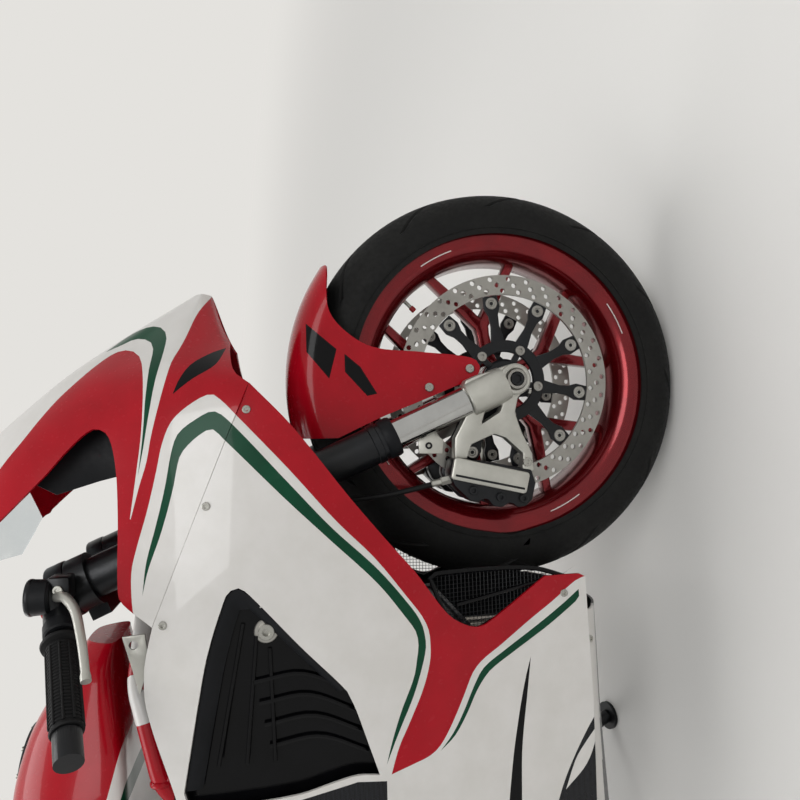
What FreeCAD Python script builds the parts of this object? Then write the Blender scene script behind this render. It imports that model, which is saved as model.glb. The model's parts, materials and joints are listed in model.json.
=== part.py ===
"""Sport bike on its side stand, as separate pieces around real joints, in millimetres.

Every piece is drawn upright in the bike frame: x forward, y to the bike's left, z up,
with the origin on the ground below the front axle. One placement then leans all of
them onto the side stand and puts the origin at the bottom centre of the whole bike.
"""
import FreeCAD, Part
import math
import os
import re

import Sketcher
from FreeCAD import Placement, Rotation, Vector

# Driving sizes, in millimetres and degrees. Columns: name, value.
SIZES = [
    ("wheelbase", 1380.0),
    ("lean_angle", 12.6),
    ("rake", 23.5),
    ("trail", 99.0),
    # Front wheel
    ("front_tyre_height", 67.4),
    ("front_tyre_crown", 60.0),
    ("front_tread_edge", 0.0),
    ("front_rim_half", 52.0),
    ("front_well_half", 30.0),
    ("front_hub_radius", 34.0),
    ("front_hub_half", 60.0),
    ("front_junction", 92.0),
    ("front_spoke_depth", 26.0),
    # Rear wheel
    ("rear_tyre_height", 82.4),
    ("rear_tyre_crown", 90.0),
    ("rear_tread_edge", 20.0),
    ("rear_rim_half", 76.0),
    ("rear_well_half", 52.0),
    ("rear_hub_radius", 58.0),
    ("rear_hub_half", 62.0),
    ("rear_junction", 96.0),
    ("rear_spoke_depth", 34.0),
    # Both wheels
    ("flange_radius", 232.5),
    ("flange_lip", 4.5),
    ("bead_drop", 21.5),
    ("well_drop", 31.5),
    ("rim_wall", 10.0),
    ("flange_height", 26.0),
    ("tyre_wall", 9.0),
    ("bead_width", 8.0),
    ("fit_gap", 0.3),
    ("arm_width", 30.0),
    ("spoke_width", 13.0),
    ("branch_angle", 36.0),
    ("spoke_turn", 10.4),
    # Brakes
    ("disc_radius", 160.0),
    ("disc_inner", 130.0),
    ("disc_offset", 70.0),
    ("disc_thickness", 5.0),
    ("carrier_ring", 60.0),
    ("carrier_arm", 14.0),
    ("rear_disc_radius", 110.0),
    ("rear_disc_offset", 76.0),
    # Front end
    ("axle_radius", 14.0),
    ("axle_bore", 10.5),
    ("axle_half", 130.0),
    ("fork_offset_side", 105.0),
    ("fork_outer_radius", 27.0),
    ("stanchion_radius", 21.5),
    ("fork_outer_start", 198.0),
    ("fork_top", 683.0),
    ("foot_top", 76.0),
    ("foot_half", 11.0),
    ("clamp_ring_radius", 22.0),
    ("stem_radius", 15.0),
    ("head_radius", 31.0),
    ("lower_clamp", 424.0),
    ("clamp_drop", 53.0),
    ("clamp_height", 26.0),
    ("bar_radius", 11.0),
    ("grip_radius", 17.0),
    ("fender_gap", 17.0),
    ("fender_half", 84.0),
    ("fender_wall", 4.0),
    # Bodywork
    ("panel_wall", 4.0),
    ("grille_wall", 6.0),
    ("boss_radius", 9.0),
    # Frame and engine
    ("frame_tube", 14.0),
    ("frame_strut", 11.5),
    ("cross_tube", 10.0),
    ("tube_bend", 60.0),
    ("subframe_tube", 11.0),
    ("header_tube", 17.6),
    ("outlet_tube", 21.0),
    ("hose_radius", 4.0),
    ("engine_front", -432.0),
    ("engine_rear", -686.0),
    ("engine_bottom", 222.0),
    ("engine_top", 560.0),
    ("engine_half", 143.7),
    ("plate_inner", 118.0),
    ("plate_thick", 24.0),
    ("pivot_x", -765.0),
    ("pivot_z", 400.0),
    ("pivot_radius", 30.0),
    ("plate_gap", 0.3),
    ("arm_inner", 102.0),
    ("arm_outer", 148.0),
    ("rear_carrier_radius", 66.0),
    ("rear_axle_radius", 30.0),
    ("rear_axle_bore", 15.0),
    ("sprocket_radius", 86.0),
    ("front_sprocket_radius", 36.0),
    ("front_sprocket_x", -728.0),
    ("front_sprocket_z", 385.0),
    ("chain_width", 14.0),
    ("chain_depth", 12.0),
    ("chain_y", 159.0),
    # Side stand
    ("stand_pivot_x", -720.0),
    ("stand_pivot_y", 128.3),
    ("stand_pivot_z", 262.0),
    ("stand_pivot_tilt", 14.1),
    ("stand_eye_half", 9.0),
    ("stand_foot_x", -615.0),
    ("stand_foot_y", 176.0),
    ("stand_leg_radius", 11.0),
    ("stand_foot_radius", 24.0),
    ("stand_foot_thick", 6.0),
]

doc = FreeCAD.newDocument("SportBike")
sheet = doc.addObject("Spreadsheet::Sheet", "Sizes")
for row, (alias, value) in enumerate(SIZES, start=1):
    sheet.set("A%d" % row, alias)
    sheet.set("B%d" % row, repr(value))
    sheet.setAlias("B%d" % row, alias)
doc.recompute()

ALIASES = {alias for alias, value in SIZES}
NODES = {}


def size(alias):
    """A driving size as a number."""
    return float(sheet.get(alias))


def cell(expression):
    """An expression over aliases, written for setExpression."""
    return re.sub(
        r"[a-z][a-z_]+",
        lambda word: "Sizes." + word.group() if word.group() in ALIASES else word.group(),
        expression,
    )


def bind(item, **expressions):
    """Tie properties of an object to the sheet."""
    for name, expression in expressions.items():
        item.setExpression(name, cell(expression))
    return item


def node(item, label, placement=Placement()):
    """Register an object as a sub-part, with its place in the upright bike frame."""
    item.Label = label
    NODES[label] = (item, placement.multiply(item.Placement))
    return item


# Frames of reference
front_radius = size("flange_radius") + size("front_tyre_height")
rear_radius = size("flange_radius") + size("rear_tyre_height")
front_axle = Vector(0, 0, front_radius)
rear_axle = Vector(-size("wheelbase"), 0, rear_radius)
rake = math.radians(size("rake"))
fork_offset = front_radius * math.sin(rake) - size("trail") * math.cos(rake)
steer_forward = Vector(math.cos(rake), 0, math.sin(rake))
steer_up = Vector(-math.sin(rake), 0, math.cos(rake))
steer_base = front_axle - steer_forward * fork_offset
steer_frame = Placement(steer_base, Rotation(Vector(0, 1, 0), -size("rake")))
front_frame = Placement(front_axle, Rotation())
rear_frame = Placement(rear_axle, Rotation())
RIGHT, LEFT = -1, 1
SIDES = (("right", RIGHT), ("left", LEFT))

# The lean onto the stand: both crowns roll sideways and the wheels settle on one flat floor.
lean = math.radians(size("lean_angle"))
front_drop = size("front_tyre_crown") * (1 - math.cos(lean))
rear_drop = size("rear_tyre_crown") * (1 - math.cos(lean))
pitch = math.asin((rear_drop - front_drop) / size("wheelbase"))
leaned = Placement(
    Vector(0, 0, front_drop),
    Rotation(Vector(0, 1, 0), math.degrees(pitch)).multiply(Rotation(Vector(1, 0, 0), -size("lean_angle"))),
)


def steer_point(forward, side, up):
    """A point given in the steering frame, in bike coordinates."""
    return steer_frame.multVec(Vector(forward, side, up))


# Sketch helpers
def origin_plane(body, role):
    """One of a body's own origin planes."""
    for feature in body.Origin.OriginFeatures:
        if feature.Role == role:
            return feature
    raise ValueError(role)


def new_body(label):
    """An empty body that may hold pieces which a later feature joins."""
    body = doc.addObject("PartDesign::Body", label)
    body.AllowCompound = True
    return body


def new_sketch(body, name, plane, offset=None):
    """A sketch on an origin plane, set off from it by an expression if given."""
    sketch = body.newObject("Sketcher::SketchObject", name)
    sketch.AttachmentSupport = [(origin_plane(body, plane), "")]
    sketch.MapMode = "FlatFace"
    if offset:
        sketch.setExpression("AttachmentOffset.Base.z", cell(offset))
    return sketch


def place_point(sketch, geometry, corner, name, across, up):
    """Fix a point of a sketch by two expressions."""
    for kind, axis, expression in (("DistanceX", -2, across), ("DistanceY", -1, up)):
        if expression == "0":
            sketch.addConstraint(Sketcher.Constraint("PointOnObject", geometry, corner, axis))
            continue
        index = sketch.addConstraint(Sketcher.Constraint(kind, -1, 1, geometry, corner, 1.0))
        sketch.renameConstraint(index, name + kind[-1])
        sketch.setExpression("Constraints." + name + kind[-1], cell(expression))


def outline(sketch, corners):
    """A closed outline of straight edges through corners (across, up)."""
    count = len(corners)
    start = [Rotation(Vector(0, 0, 1), 360.0 * i / count).multVec(Vector(10, 0, 0)) for i in range(count)]
    for i in range(count):
        sketch.addGeometry(Part.LineSegment(start[i], start[(i + 1) % count]), False)
    for i in range(count):
        sketch.addConstraint(Sketcher.Constraint("Coincident", i, 2, (i + 1) % count, 1))
    for i, (across, up) in enumerate(corners):
        place_point(sketch, i, 1, "corner%d" % i, str(across), str(up))
    return sketch


def circle(sketch, across, up, radius):
    """A circle with its centre and radius fixed by expressions."""
    index = sketch.addGeometry(Part.Circle(Vector(1, 1, 0), Vector(0, 0, 1), 5), False)
    place_point(sketch, index, 3, "centre%d" % index, across, up)
    named = sketch.addConstraint(Sketcher.Constraint("Radius", index, 5.0))
    sketch.renameConstraint(named, "radius%d" % index)
    sketch.setExpression("Constraints.radius%d" % index, cell(radius))
    return index


def pad(body, name, sketch, length, symmetric=True, reverse=False):
    """A pad of a sketch."""
    feature = body.newObject("PartDesign::Pad", name)
    feature.Profile = sketch
    feature.SideType = "Symmetric" if symmetric else "One side"
    feature.Reversed = reverse
    bind(feature, Length=length)
    body.Tip = feature
    return feature


def pocket(body, name, sketch, length):
    """A pocket cut both ways from its sketch."""
    feature = body.newObject("PartDesign::Pocket", name)
    feature.Profile = sketch
    feature.SideType = "Symmetric"
    bind(feature, Length=length)
    body.Tip = feature
    return feature


def spin(body, name, sketch):
    """A full revolution about the sketch's horizontal axis."""
    feature = body.newObject("PartDesign::Revolution", name)
    feature.Profile = sketch
    feature.ReferenceAxis = (sketch, ["H_Axis"])
    feature.Angle = 360.0
    body.Tip = feature
    return feature


def polar(body, name, features, copies, reference):
    """Copies of features in a full circle about the normal of a sketch."""
    feature = body.newObject("PartDesign::PolarPattern", name)
    feature.Originals = features
    feature.Axis = (reference, ["N_Axis"])
    feature.Angle = 360.0
    feature.Occurrences = copies
    body.Tip = feature
    return feature


# Helpers for primitives and booleans
def rod(name, start, end, radius):
    """A round bar from one point to another, its radius tied to the sheet."""
    item = doc.addObject("Part::Cylinder", name)
    item.Height = (end - start).Length
    bind(item, Radius=radius)
    item.Placement = Placement(start, Rotation(Vector(0, 0, 1), end - start))
    return item


def block(name, low, high):
    """A box between two corners."""
    item = doc.addObject("Part::Box", name)
    item.Length = high.x - low.x
    item.Width = high.y - low.y
    item.Height = high.z - low.z
    item.Placement = Placement(low, Rotation())
    return item


def fuse(name, items):
    """One object of several shapes joined."""
    item = doc.addObject("Part::MultiFuse", name)
    item.Shapes = items
    item.Refine = False
    return item


def cut(name, base, tool):
    """One shape less another."""
    item = doc.addObject("Part::Cut", name)
    item.Base = base
    item.Tool = tool
    item.Refine = False
    return item


def mirrored(points, side):
    """Points given for the right-hand side as (x, y, z), moved to the side wanted."""
    return [Vector(p[0], -side * p[1], p[2]) for p in points]


def feature(name, shape):
    """A feature that holds a shape worked out in code."""
    item = doc.addObject("Part::Feature", name)
    item.Shape = shape
    return item


# Bent tubes
def route(points, bend=None):
    """Straight runs joined by tangent arcs, as one wire."""
    edges = []
    radii = []
    start = points[0]
    for before, corner, after in zip(points, points[1:], points[2:]):
        back = before - corner
        ahead = after - corner
        half_turn = (math.pi - back.getAngle(ahead)) / 2
        limit = 0.45 * min(back.Length, ahead.Length) / math.tan(half_turn)
        radius = min(bend, limit) if bend else limit
        radii.append(radius)
        reach = radius * math.tan(half_turn)
        inward = (back / back.Length + ahead / ahead.Length)
        middle = corner + inward / inward.Length * (radius / math.cos(half_turn) - radius)
        first = corner + back / back.Length * reach
        last = corner + ahead / ahead.Length * reach
        edges.append(Part.LineSegment(start, first).toShape())
        edges.append(Part.Arc(first, middle, last).toShape())
        start = last
    edges.append(Part.LineSegment(start, points[-1]).toShape())
    return Part.Wire(edges), radii


def tube(points, radius, bend=None):
    """A round bar swept along a bent route."""
    way, radii = route(points, bend)
    profile = Part.Wire(Part.Circle(points[0], points[1] - points[0], radius).toShape())
    return way.makePipeShell([profile], True, False, 0)


def bent(name, points, radius, bend="tube_bend", extra=0.0):
    """A bent tube as a feature, with its radius and bend from the sheet."""
    return feature(name, tube(points, size(radius) + extra, size(bend)))


# Lofted panels
def offset_inward(line, wall):
    """A section line moved inward by the wall, each corner along its own normal."""
    moved = []
    for i, (side, up) in enumerate(line):
        before = line[max(i - 1, 0)]
        after = line[min(i + 1, len(line) - 1)]
        along = (after[0] - before[0], after[1] - before[1])
        length = math.hypot(*along)
        moved.append((side - along[1] / length * wall, up + along[0] / length * wall))
    return moved


def section_wire(x, corners):
    """A closed wire across the bike at x."""
    points = [Vector(x, side, up) for side, up in corners]
    return Part.makePolygon(points + points[:1])


def shell_loft(sections, wall, depth=0.0):
    """A ruled shell through section lines that run with the inside on their left."""
    wires = []
    for x, line in sections:
        outer = offset_inward(line, depth)
        inner = offset_inward(line, depth + wall)
        wires.append(section_wire(x, outer + inner[::-1]))
    return Part.makeLoft(wires, True, True)


def whole(sections):
    """Full section lines from half ones, from the right side over to the left."""
    result = []
    for x, half in sections:
        right = [(-side, up) for side, up in half]
        left = [(side, up) for side, up in half[::-1] if side]
        result.append((x, right + left))
    return result


def solid_loft(sections):
    """A ruled solid through closed sections across the bike."""
    return Part.makeLoft([section_wire(x, line) for x, line in sections], True, True)


def prism(outline_points, low, high):
    """A side outline (x, z) pushed across the bike from y = low to y = high."""
    points = [Vector(x, low, z) for x, z in outline_points]
    face = Part.Face(Part.makePolygon(points + points[:1]))
    return face.extrude(Vector(0, high - low, 0))


def mirror_across(shape):
    """The same shape on the bike's other side."""
    return shape.mirror(Vector(0, 0, 0), Vector(0, 1, 0))


# Wheels
def wheel_rim(end, label, frame):
    """Cast wheel: rim, hub and five arms that each fork into two spokes."""
    body = new_body(label)
    half = end + "_rim_half"
    well = end + "_well_half"
    section = [
        ("-" + half, "flange_radius"),
        ("flange_lip - " + half, "flange_radius"),
        ("flange_lip - " + half, "flange_radius - bead_drop"),
        ("-" + well, "flange_radius - well_drop"),
        (well, "flange_radius - well_drop"),
        (half + " - flange_lip", "flange_radius - bead_drop"),
        (half + " - flange_lip", "flange_radius"),
        (half, "flange_radius"),
        (half, "flange_radius - flange_height"),
        (well, "flange_radius - well_drop - rim_wall"),
        ("-" + well, "flange_radius - well_drop - rim_wall"),
        ("-" + half, "flange_radius - flange_height"),
    ]
    barrel = outline(new_sketch(body, label + "_section", "YZ_Plane"), section)
    spin(body, label + "_barrel", barrel)
    hub = outline(
        new_sketch(body, label + "_hub_section", "YZ_Plane"),
        [
            ("-%s_hub_half" % end, "axle_radius + fit_gap" if end == "front" else "rear_axle_bore"),
            ("%s_hub_half" % end, "axle_radius + fit_gap" if end == "front" else "rear_axle_bore"),
            ("%s_hub_half" % end, end + "_hub_radius"),
            ("-%s_hub_half" % end, end + "_hub_radius"),
        ],
    )
    spin(body, label + "_hub", hub)
    root = end + "_hub_radius - 4"
    junction = end + "_junction"
    # Each spoke ends on the well's radius.
    branch = (
        "(sqrt((flange_radius - well_drop)^2 - (%s_junction * sin(branch_angle))^2)"
        " - %s_junction * cos(branch_angle))" % (end, end)
    )
    arm_sketch = outline(
        new_sketch(body, label + "_arm_outline", "XZ_Plane"),
        [
            (root, "-arm_width / 2"),
            (junction, "-spoke_width"),
            (junction, "spoke_width"),
            (root, "arm_width / 2"),
        ],
    )
    arms = [pad(body, label + "_arm", arm_sketch, end + "_spoke_depth")]
    for hand, sign in (("low", "-"), ("high", "")):
        across = "spoke_width / 2 * sin(branch_angle)"
        up = "spoke_width / 2 * cos(branch_angle)"
        flip = "-" if sign else ""
        corners = [
            ("%s + %s" % (junction, across), "%s(0 - %s)" % (flip, up)),
            ("%s + %s + %s * cos(branch_angle)" % (junction, across, branch),
             "%s(%s * sin(branch_angle) - %s)" % (flip, branch, up)),
            ("%s - %s + %s * cos(branch_angle)" % (junction, across, branch),
             "%s(%s * sin(branch_angle) + %s)" % (flip, branch, up)),
            ("%s - %s" % (junction, across), "%s(%s)" % (flip, up)),
        ]
        spoke = outline(new_sketch(body, "%s_%s_outline" % (label, hand), "XZ_Plane"), corners)
        arms.append(pad(body, "%s_%s_spoke" % (label, hand), spoke, end + "_spoke_depth * 0.8"))
    polar(body, label + "_spokes", arms, 5, arm_sketch)
    turn = Rotation(Vector(0, 1, 0), -size("spoke_turn"))
    node(body, label, frame.multiply(Placement(Vector(), turn)))
    return body


def tyre(end, label, frame):
    """Tyre section: a round crown, its inside wall, and two beads in the rim."""
    body = new_body(label)
    sketch = new_sketch(body, label + "_section", "YZ_Plane")
    crown = size(end + "_tyre_crown")
    centre = size("flange_radius") + size(end + "_tyre_height") - crown
    edge = math.radians(size(end + "_tread_edge"))
    middle = Vector(0, centre, 0)
    rise = "%s_tyre_crown * sin(%s_tread_edge)" % (end, end)
    hub_height = "flange_radius + %s_tyre_height - %s_tyre_crown" % (end, end)
    for index, wall in enumerate(("0", "tyre_wall")):
        radius = crown - (size("tyre_wall") if index else 0)
        base = Part.Circle(middle, Vector(0, 0, 1), radius)
        start = math.asin(crown * math.sin(edge) / radius)
        sketch.addGeometry(Part.ArcOfCircle(base, start, math.pi - start), False)
        place_point(sketch, index, 3, "centre%d" % index, "0", hub_height)
        named = sketch.addConstraint(Sketcher.Constraint("Radius", index, radius))
        sketch.renameConstraint(named, "radius%d" % index)
        sketch.setExpression("Constraints.radius%d" % index, cell("%s_tyre_crown - %s" % (end, wall)))
        for corner in (1, 2):
            named = sketch.addConstraint(Sketcher.Constraint("DistanceY", -1, 1, index, corner, centre))
            name = "edge%d_%d" % (index, corner)
            sketch.renameConstraint(named, name)
            sketch.setExpression("Constraints." + name, cell(hub_height + " + " + rise))
    outer = "%s_rim_half - flange_lip - fit_gap" % end
    inner = outer + " - bead_width"
    over = "flange_radius + fit_gap"
    seat = "flange_radius - bead_drop + fit_gap"
    line = 2
    for sign, corner in (("", 1), ("-", 2)):
        chain = [
            (sign + "(" + outer + ")", over),
            (sign + "(" + outer + ")", seat),
            (sign + "(" + inner + ")", seat),
            (sign + "(" + inner + ")", over),
        ]
        reach = -1 if sign else 1
        rough = [Vector(reach * (50 - 3 * step), centre - 5 - 7 * step, 0) for step in range(6)]
        for step in range(5):
            sketch.addGeometry(Part.LineSegment(rough[step], rough[step + 1]), False)
        sketch.addConstraint(Sketcher.Constraint("Coincident", line, 1, 0, corner))
        for step in range(4):
            sketch.addConstraint(Sketcher.Constraint("Coincident", line + step, 2, line + step + 1, 1))
            place_point(sketch, line + step, 2, "bead%d_%d" % (corner, step), *chain[step])
        sketch.addConstraint(Sketcher.Constraint("Coincident", line + 4, 2, 1, corner))
        line += 5
    spin(body, label + "_carcass", sketch)
    node(body, label, frame)
    return body


def ring(name, outer, inner, start, end):
    """A flat ring about the y axis, between two expressions for its faces."""
    parts = []
    for kind, radius in (("outer", outer), ("inner", inner)):
        item = doc.addObject("Part::Cylinder", "%s_%s" % (name, kind))
        bind(item, Radius=radius, Height="(%s) - (%s)" % (end, start))
        item.Placement = Placement(Vector(), Rotation(Vector(1, 0, 0), -90))
        item.setExpression("Placement.Base.y", cell(start))
        parts.append(item)
    return cut(name, parts[0], parts[1])


wheel_rim("front", "front_rim", front_frame)
tyre("front", "front_tyre", front_frame)
wheel_rim("rear", "rear_rim", rear_frame)
tyre("rear", "rear_tyre", rear_frame)

# Front brake discs and the carriers that bolt them to the hub
discs = []
carriers = []
for name, side in SIDES:
    sign = "" if side == LEFT else "-"
    face = "disc_offset - disc_thickness / 2"
    back = "disc_offset + disc_thickness / 2"
    low, high = (face, back) if side == LEFT else ("-(%s)" % back, "-(%s)" % face)
    discs.append(ring("disc_ring_" + name, "disc_radius", "disc_inner", low, high))
    body = new_body("disc_carrier_" + name)
    # The sketch's normal is -y, so its offset has the opposite sign.
    seat = "%s(0 - disc_offset)" % sign
    centre_sketch = new_sketch(body, "carrier_ring_" + name, "XZ_Plane", seat)
    circle(centre_sketch, "0", "0", "carrier_ring")
    circle(centre_sketch, "0", "0", "axle_radius + fit_gap")
    pad(body, "carrier_plate_" + name, centre_sketch, "disc_thickness")
    arm_sketch = outline(
        new_sketch(body, "carrier_arm_" + name, "XZ_Plane", seat),
        [
            ("carrier_ring - 5", "-carrier_arm / 2"),
            ("disc_inner - fit_gap", "-carrier_arm / 2"),
            ("disc_inner - fit_gap", "carrier_arm / 2"),
            ("carrier_ring - 5", "carrier_arm / 2"),
        ],
    )
    arm = pad(body, "carrier_spoke_" + name, arm_sketch, "disc_thickness")
    polar(body, "carrier_spokes_" + name, [arm], 10, arm_sketch)
    foot_sketch = new_sketch(body, "carrier_foot_" + name, "XZ_Plane", "%s(0 - front_hub_half)" % sign)
    circle(foot_sketch, "0", "0", "front_hub_radius")
    circle(foot_sketch, "0", "0", "axle_radius + fit_gap")
    pad(body, "carrier_boss_" + name, foot_sketch, "disc_offset - front_hub_half", False, side == LEFT)
    carriers.append(body)
node(fuse("disc_pair", discs), "front_discs", front_frame)
node(fuse("carrier_pair", carriers), "disc_carriers", front_frame)

# Hollow front axle, held in the fork feet
node(ring("front_axle_tube", "axle_radius", "axle_bore", "-axle_half", "axle_half"), "front_axle", front_frame)

# Fork feet: one casting a side, with two arms that hold the caliper.
# Corners (x, z) from the axle's centre.
FOOT = [
    (-14, 82), (24, 72), (26, 54), (12, 42), (20, 8), (14, -14), (-14, -16), (-27, -2), (-50, 4),
    (-75, -5), (-107, -22), (-133.2, -24), (-131, -5), (-107, -10), (-82, 17), (-77, 32), (-92, 67),
    (-112, 72), (-112, 92), (-82, 90), (-66, 78), (-50, 71),
]
FOOT_WINDOW = [(-62, 50), (-47, 45), (-37, 20), (-46, 22)]
# Caliper outline (x, z) from the axle's centre.
CALIPER = [
    (-112.4, 90), (-141, 95), (-162, 82), (-174, 50), (-179, 10), (-170, -18), (-136, -25),
]
CALIPER_INNER = 38

feet = []
foot_tools = []
calipers = []
for name, side in SIDES:
    sign = "-" if side == LEFT else ""
    middle = sign + "fork_offset_side"
    body = new_body("fork_foot_" + name)
    sketch = outline(new_sketch(body, "foot_outline_" + name, "XZ_Plane", middle), FOOT)
    pad(body, "foot_casting_" + name, sketch, "2 * foot_half")
    window = outline(new_sketch(body, "foot_window_" + name, "XZ_Plane", middle), FOOT_WINDOW)
    pocket(body, "foot_opening_" + name, window, "4 * foot_half")
    ring_sketch = new_sketch(body, "foot_ring_" + name, "XZ_Plane", middle)
    circle(ring_sketch, "0", "0", "clamp_ring_radius")
    pad(body, "foot_clamp_" + name, ring_sketch, "3.6 * foot_half")
    socket_sketch = new_sketch(body, "foot_socket_" + name, "XY_Plane")
    socket_sketch.AttachmentOffset = Placement(
        steer_up * size("foot_top") + Vector(0, side * size("fork_offset_side"), 0),
        Rotation(Vector(0, 1, 0), -size("rake")),
    )
    circle(socket_sketch, "0", "0", "fork_outer_radius")
    pad(body, "foot_cup_" + name, socket_sketch, "foot_top - 16", False, True)
    bore_sketch = new_sketch(body, "foot_bore_" + name, "XZ_Plane", middle)
    circle(bore_sketch, "0", "0", "axle_radius")
    pocket(body, "foot_axle_hole_" + name, bore_sketch, "8 * foot_half")
    feet.append(body)
    socket = steer_up * size("foot_top") + Vector(0, side * size("fork_offset_side"), 0)
    foot_tools.append(
        rod("foot_tube_hole_" + name, socket, socket + steer_up * 40, "stanchion_radius + fit_gap")
    )

    body = new_body("caliper_" + name)
    sketch = outline(new_sketch(body, "caliper_outline_" + name, "XZ_Plane", middle), CALIPER)
    pad(body, "caliper_half_" + name, sketch, "2 * (fork_offset_side - %d)" % CALIPER_INNER)
    slot = new_sketch(body, "caliper_slot_" + name, "XZ_Plane", sign + "disc_offset")
    circle(slot, "0", "0", "disc_radius + 5")
    pocket(body, "caliper_gap_" + name, slot, "disc_thickness + 10")
    trim = outline(
        new_sketch(body, "caliper_trim_" + name, "XZ_Plane", sign + "(fork_offset_side + foot_half + 40)"),
        [(-200, -60), (-90, -60), (-90, 120), (-200, 120)],
    )
    pocket(body, "caliper_face_" + name, trim, "80")
    calipers.append(body)
node(cut("foot_bored", fuse("foot_pair", feet), fuse("foot_tools", foot_tools)), "fork_feet", front_frame)
node(fuse("caliper_pair", calipers), "front_calipers", front_frame)

# Fork tubes, in the steering frame
fork_y = size("fork_offset_side")
outer_tubes = []
stanchions = []
for name, side in SIDES:
    y = side * fork_y
    outer_tubes.append(
        rod("fork_outer_" + name, Vector(fork_offset, y, size("fork_outer_start")),
            Vector(fork_offset, y, size("fork_top")), "fork_outer_radius")
    )
    stanchions.append(
        rod("stanchion_" + name, Vector(fork_offset, y, size("foot_top")),
            Vector(fork_offset, y, size("fork_outer_start")), "stanchion_radius")
    )
node(fuse("fork_outer_pair", outer_tubes), "fork_outer_tubes", steer_frame)
node(fuse("stanchion_pair", stanchions), "fork_stanchions", steer_frame)

# Yokes: two clamps and the stem between them, in the steering frame
tall = size("clamp_height")
upper_clamp = size("fork_top") - size("clamp_drop")
clamp_parts = []
for name, height in (("lower", size("lower_clamp")), ("upper", upper_clamp)):
    clamp_parts.append(
        block("yoke_bridge_" + name, Vector(-22, -fork_y, height), Vector(fork_offset, fork_y, height + tall))
    )
    for hand, side in SIDES:
        clamp_parts.append(
            rod("yoke_eye_%s_%s" % (name, hand), Vector(fork_offset, side * fork_y, height),
                Vector(fork_offset, side * fork_y, height + tall), "fork_outer_radius + 9")
        )
clamp_parts.append(
    rod("yoke_stem", Vector(0, 0, size("lower_clamp")), Vector(0, 0, upper_clamp + tall + 4), "stem_radius")
)
holes = []
for hand, side in SIDES:
    holes.append(
        rod("yoke_hole_" + hand, Vector(fork_offset, side * fork_y, 300),
            Vector(fork_offset, side * fork_y, 800), "fork_outer_radius + fit_gap")
    )
node(cut("yoke_bored", fuse("yoke_solid", clamp_parts), fuse("yoke_holes", holes)), "fork_yokes", steer_frame)

# Handlebars: a clamp on each fork leg with a bar swept back and down
# Ends of the right bar (ahead of the fork, side, above the fork's top), in the steering frame.
BAR_ROOT = (21.8, -105, -10.9)
BAR_END = (-141.2, -330, -19.6)
GRIP_START, GRIP_END = 116, 242


def bar_line(side):
    """Root, end and direction of a bar."""
    ends = [
        steer_point(fork_offset + ahead, -side * y, size("fork_top") + up)
        for ahead, y, up in (BAR_ROOT, BAR_END)
    ]
    way = ends[1] - ends[0]
    return ends[0], ends[1], way / way.Length


clamp_low = upper_clamp + tall + size("fit_gap")
clamp_high = size("fork_top") - 2
bar_parts = []
bar_holes = []
grip_parts = []
for name, side in SIDES:
    root, end, way = bar_line(side)
    y = side * fork_y
    bar_parts += [
        rod("bar_clamp_" + name, steer_point(fork_offset, y, clamp_low),
            steer_point(fork_offset, y, clamp_high), "fork_outer_radius + 8"),
        rod("bar_tube_" + name, root, end, "bar_radius"),
        rod("bar_weight_" + name, root + way * (GRIP_END + 1), end, "grip_radius - 2"),
    ]
    bar_holes.append(
        rod("bar_hole_" + name, steer_point(fork_offset, y, 500), steer_point(fork_offset, y, 800),
            "fork_outer_radius + fit_gap")
    )
    grip_parts.append(
        cut("grip_" + name,
            rod("grip_outer_" + name, root + way * GRIP_START, root + way * GRIP_END, "grip_radius"),
            rod("grip_bore_" + name, root + way * (GRIP_START - 5), root + way * (GRIP_END + 5),
                "bar_radius + fit_gap"))
    )
node(cut("bars_bored", fuse("bars_solid", bar_parts), fuse("bar_holes", bar_holes)), "handlebars")
node(fuse("grip_pair", grip_parts), "grips")

# Hand controls: perch and lever on each bar, and the brake's fluid pot on the right
PERCH, POT_HEIGHT = 80, 24
control_parts = []
control_holes = []
for name, side in SIDES:
    root, end, way = bar_line(side)
    perch = root + way * PERCH
    ahead = steer_forward
    control_parts += [
        rod("perch_" + name, perch - way * 14, perch + way * 14, "bar_radius + 8"),
        rod("perch_arm_" + name, perch, perch + ahead * 50, "bar_radius"),
        feature("lever_" + name, tube(
            [perch + ahead * 36, perch + ahead * 54 + way * 20, perch + ahead * 58 + way * 120,
             perch + ahead * 48 + way * 166], size("bar_radius") * 0.55)),
    ]
    if side == RIGHT:
        pot = perch + ahead * 36 + Vector(0, 0, 4)
        control_parts.append(rod("fluid_pot", pot, pot + Vector(0, 0, POT_HEIGHT), "bar_radius + 13"))
    control_holes.append(rod("perch_hole_" + name, root, end, "bar_radius + fit_gap"))
node(cut("controls_bored", fuse("control_solid", control_parts), fuse("control_holes", control_holes)),
     "hand_controls")

# Front fender: an arch over the tyre and a leg down to each fork foot, in the front axle's frame
FENDER_SIDE = [
    (-78, 252), (-50, 190), (-25, 125), (8, 45), (20, 41), (34, 52), (44, 128), (52, 200), (76, 240),
    (104, 262), (60, 262),
]
FENDER_TOP = [(-78, 330), (-78, 252), (-50, 192), (60, 200), (104, 262), (176, 264), (176, 330)]
FENDER_LUG = (18, 63)


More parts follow.
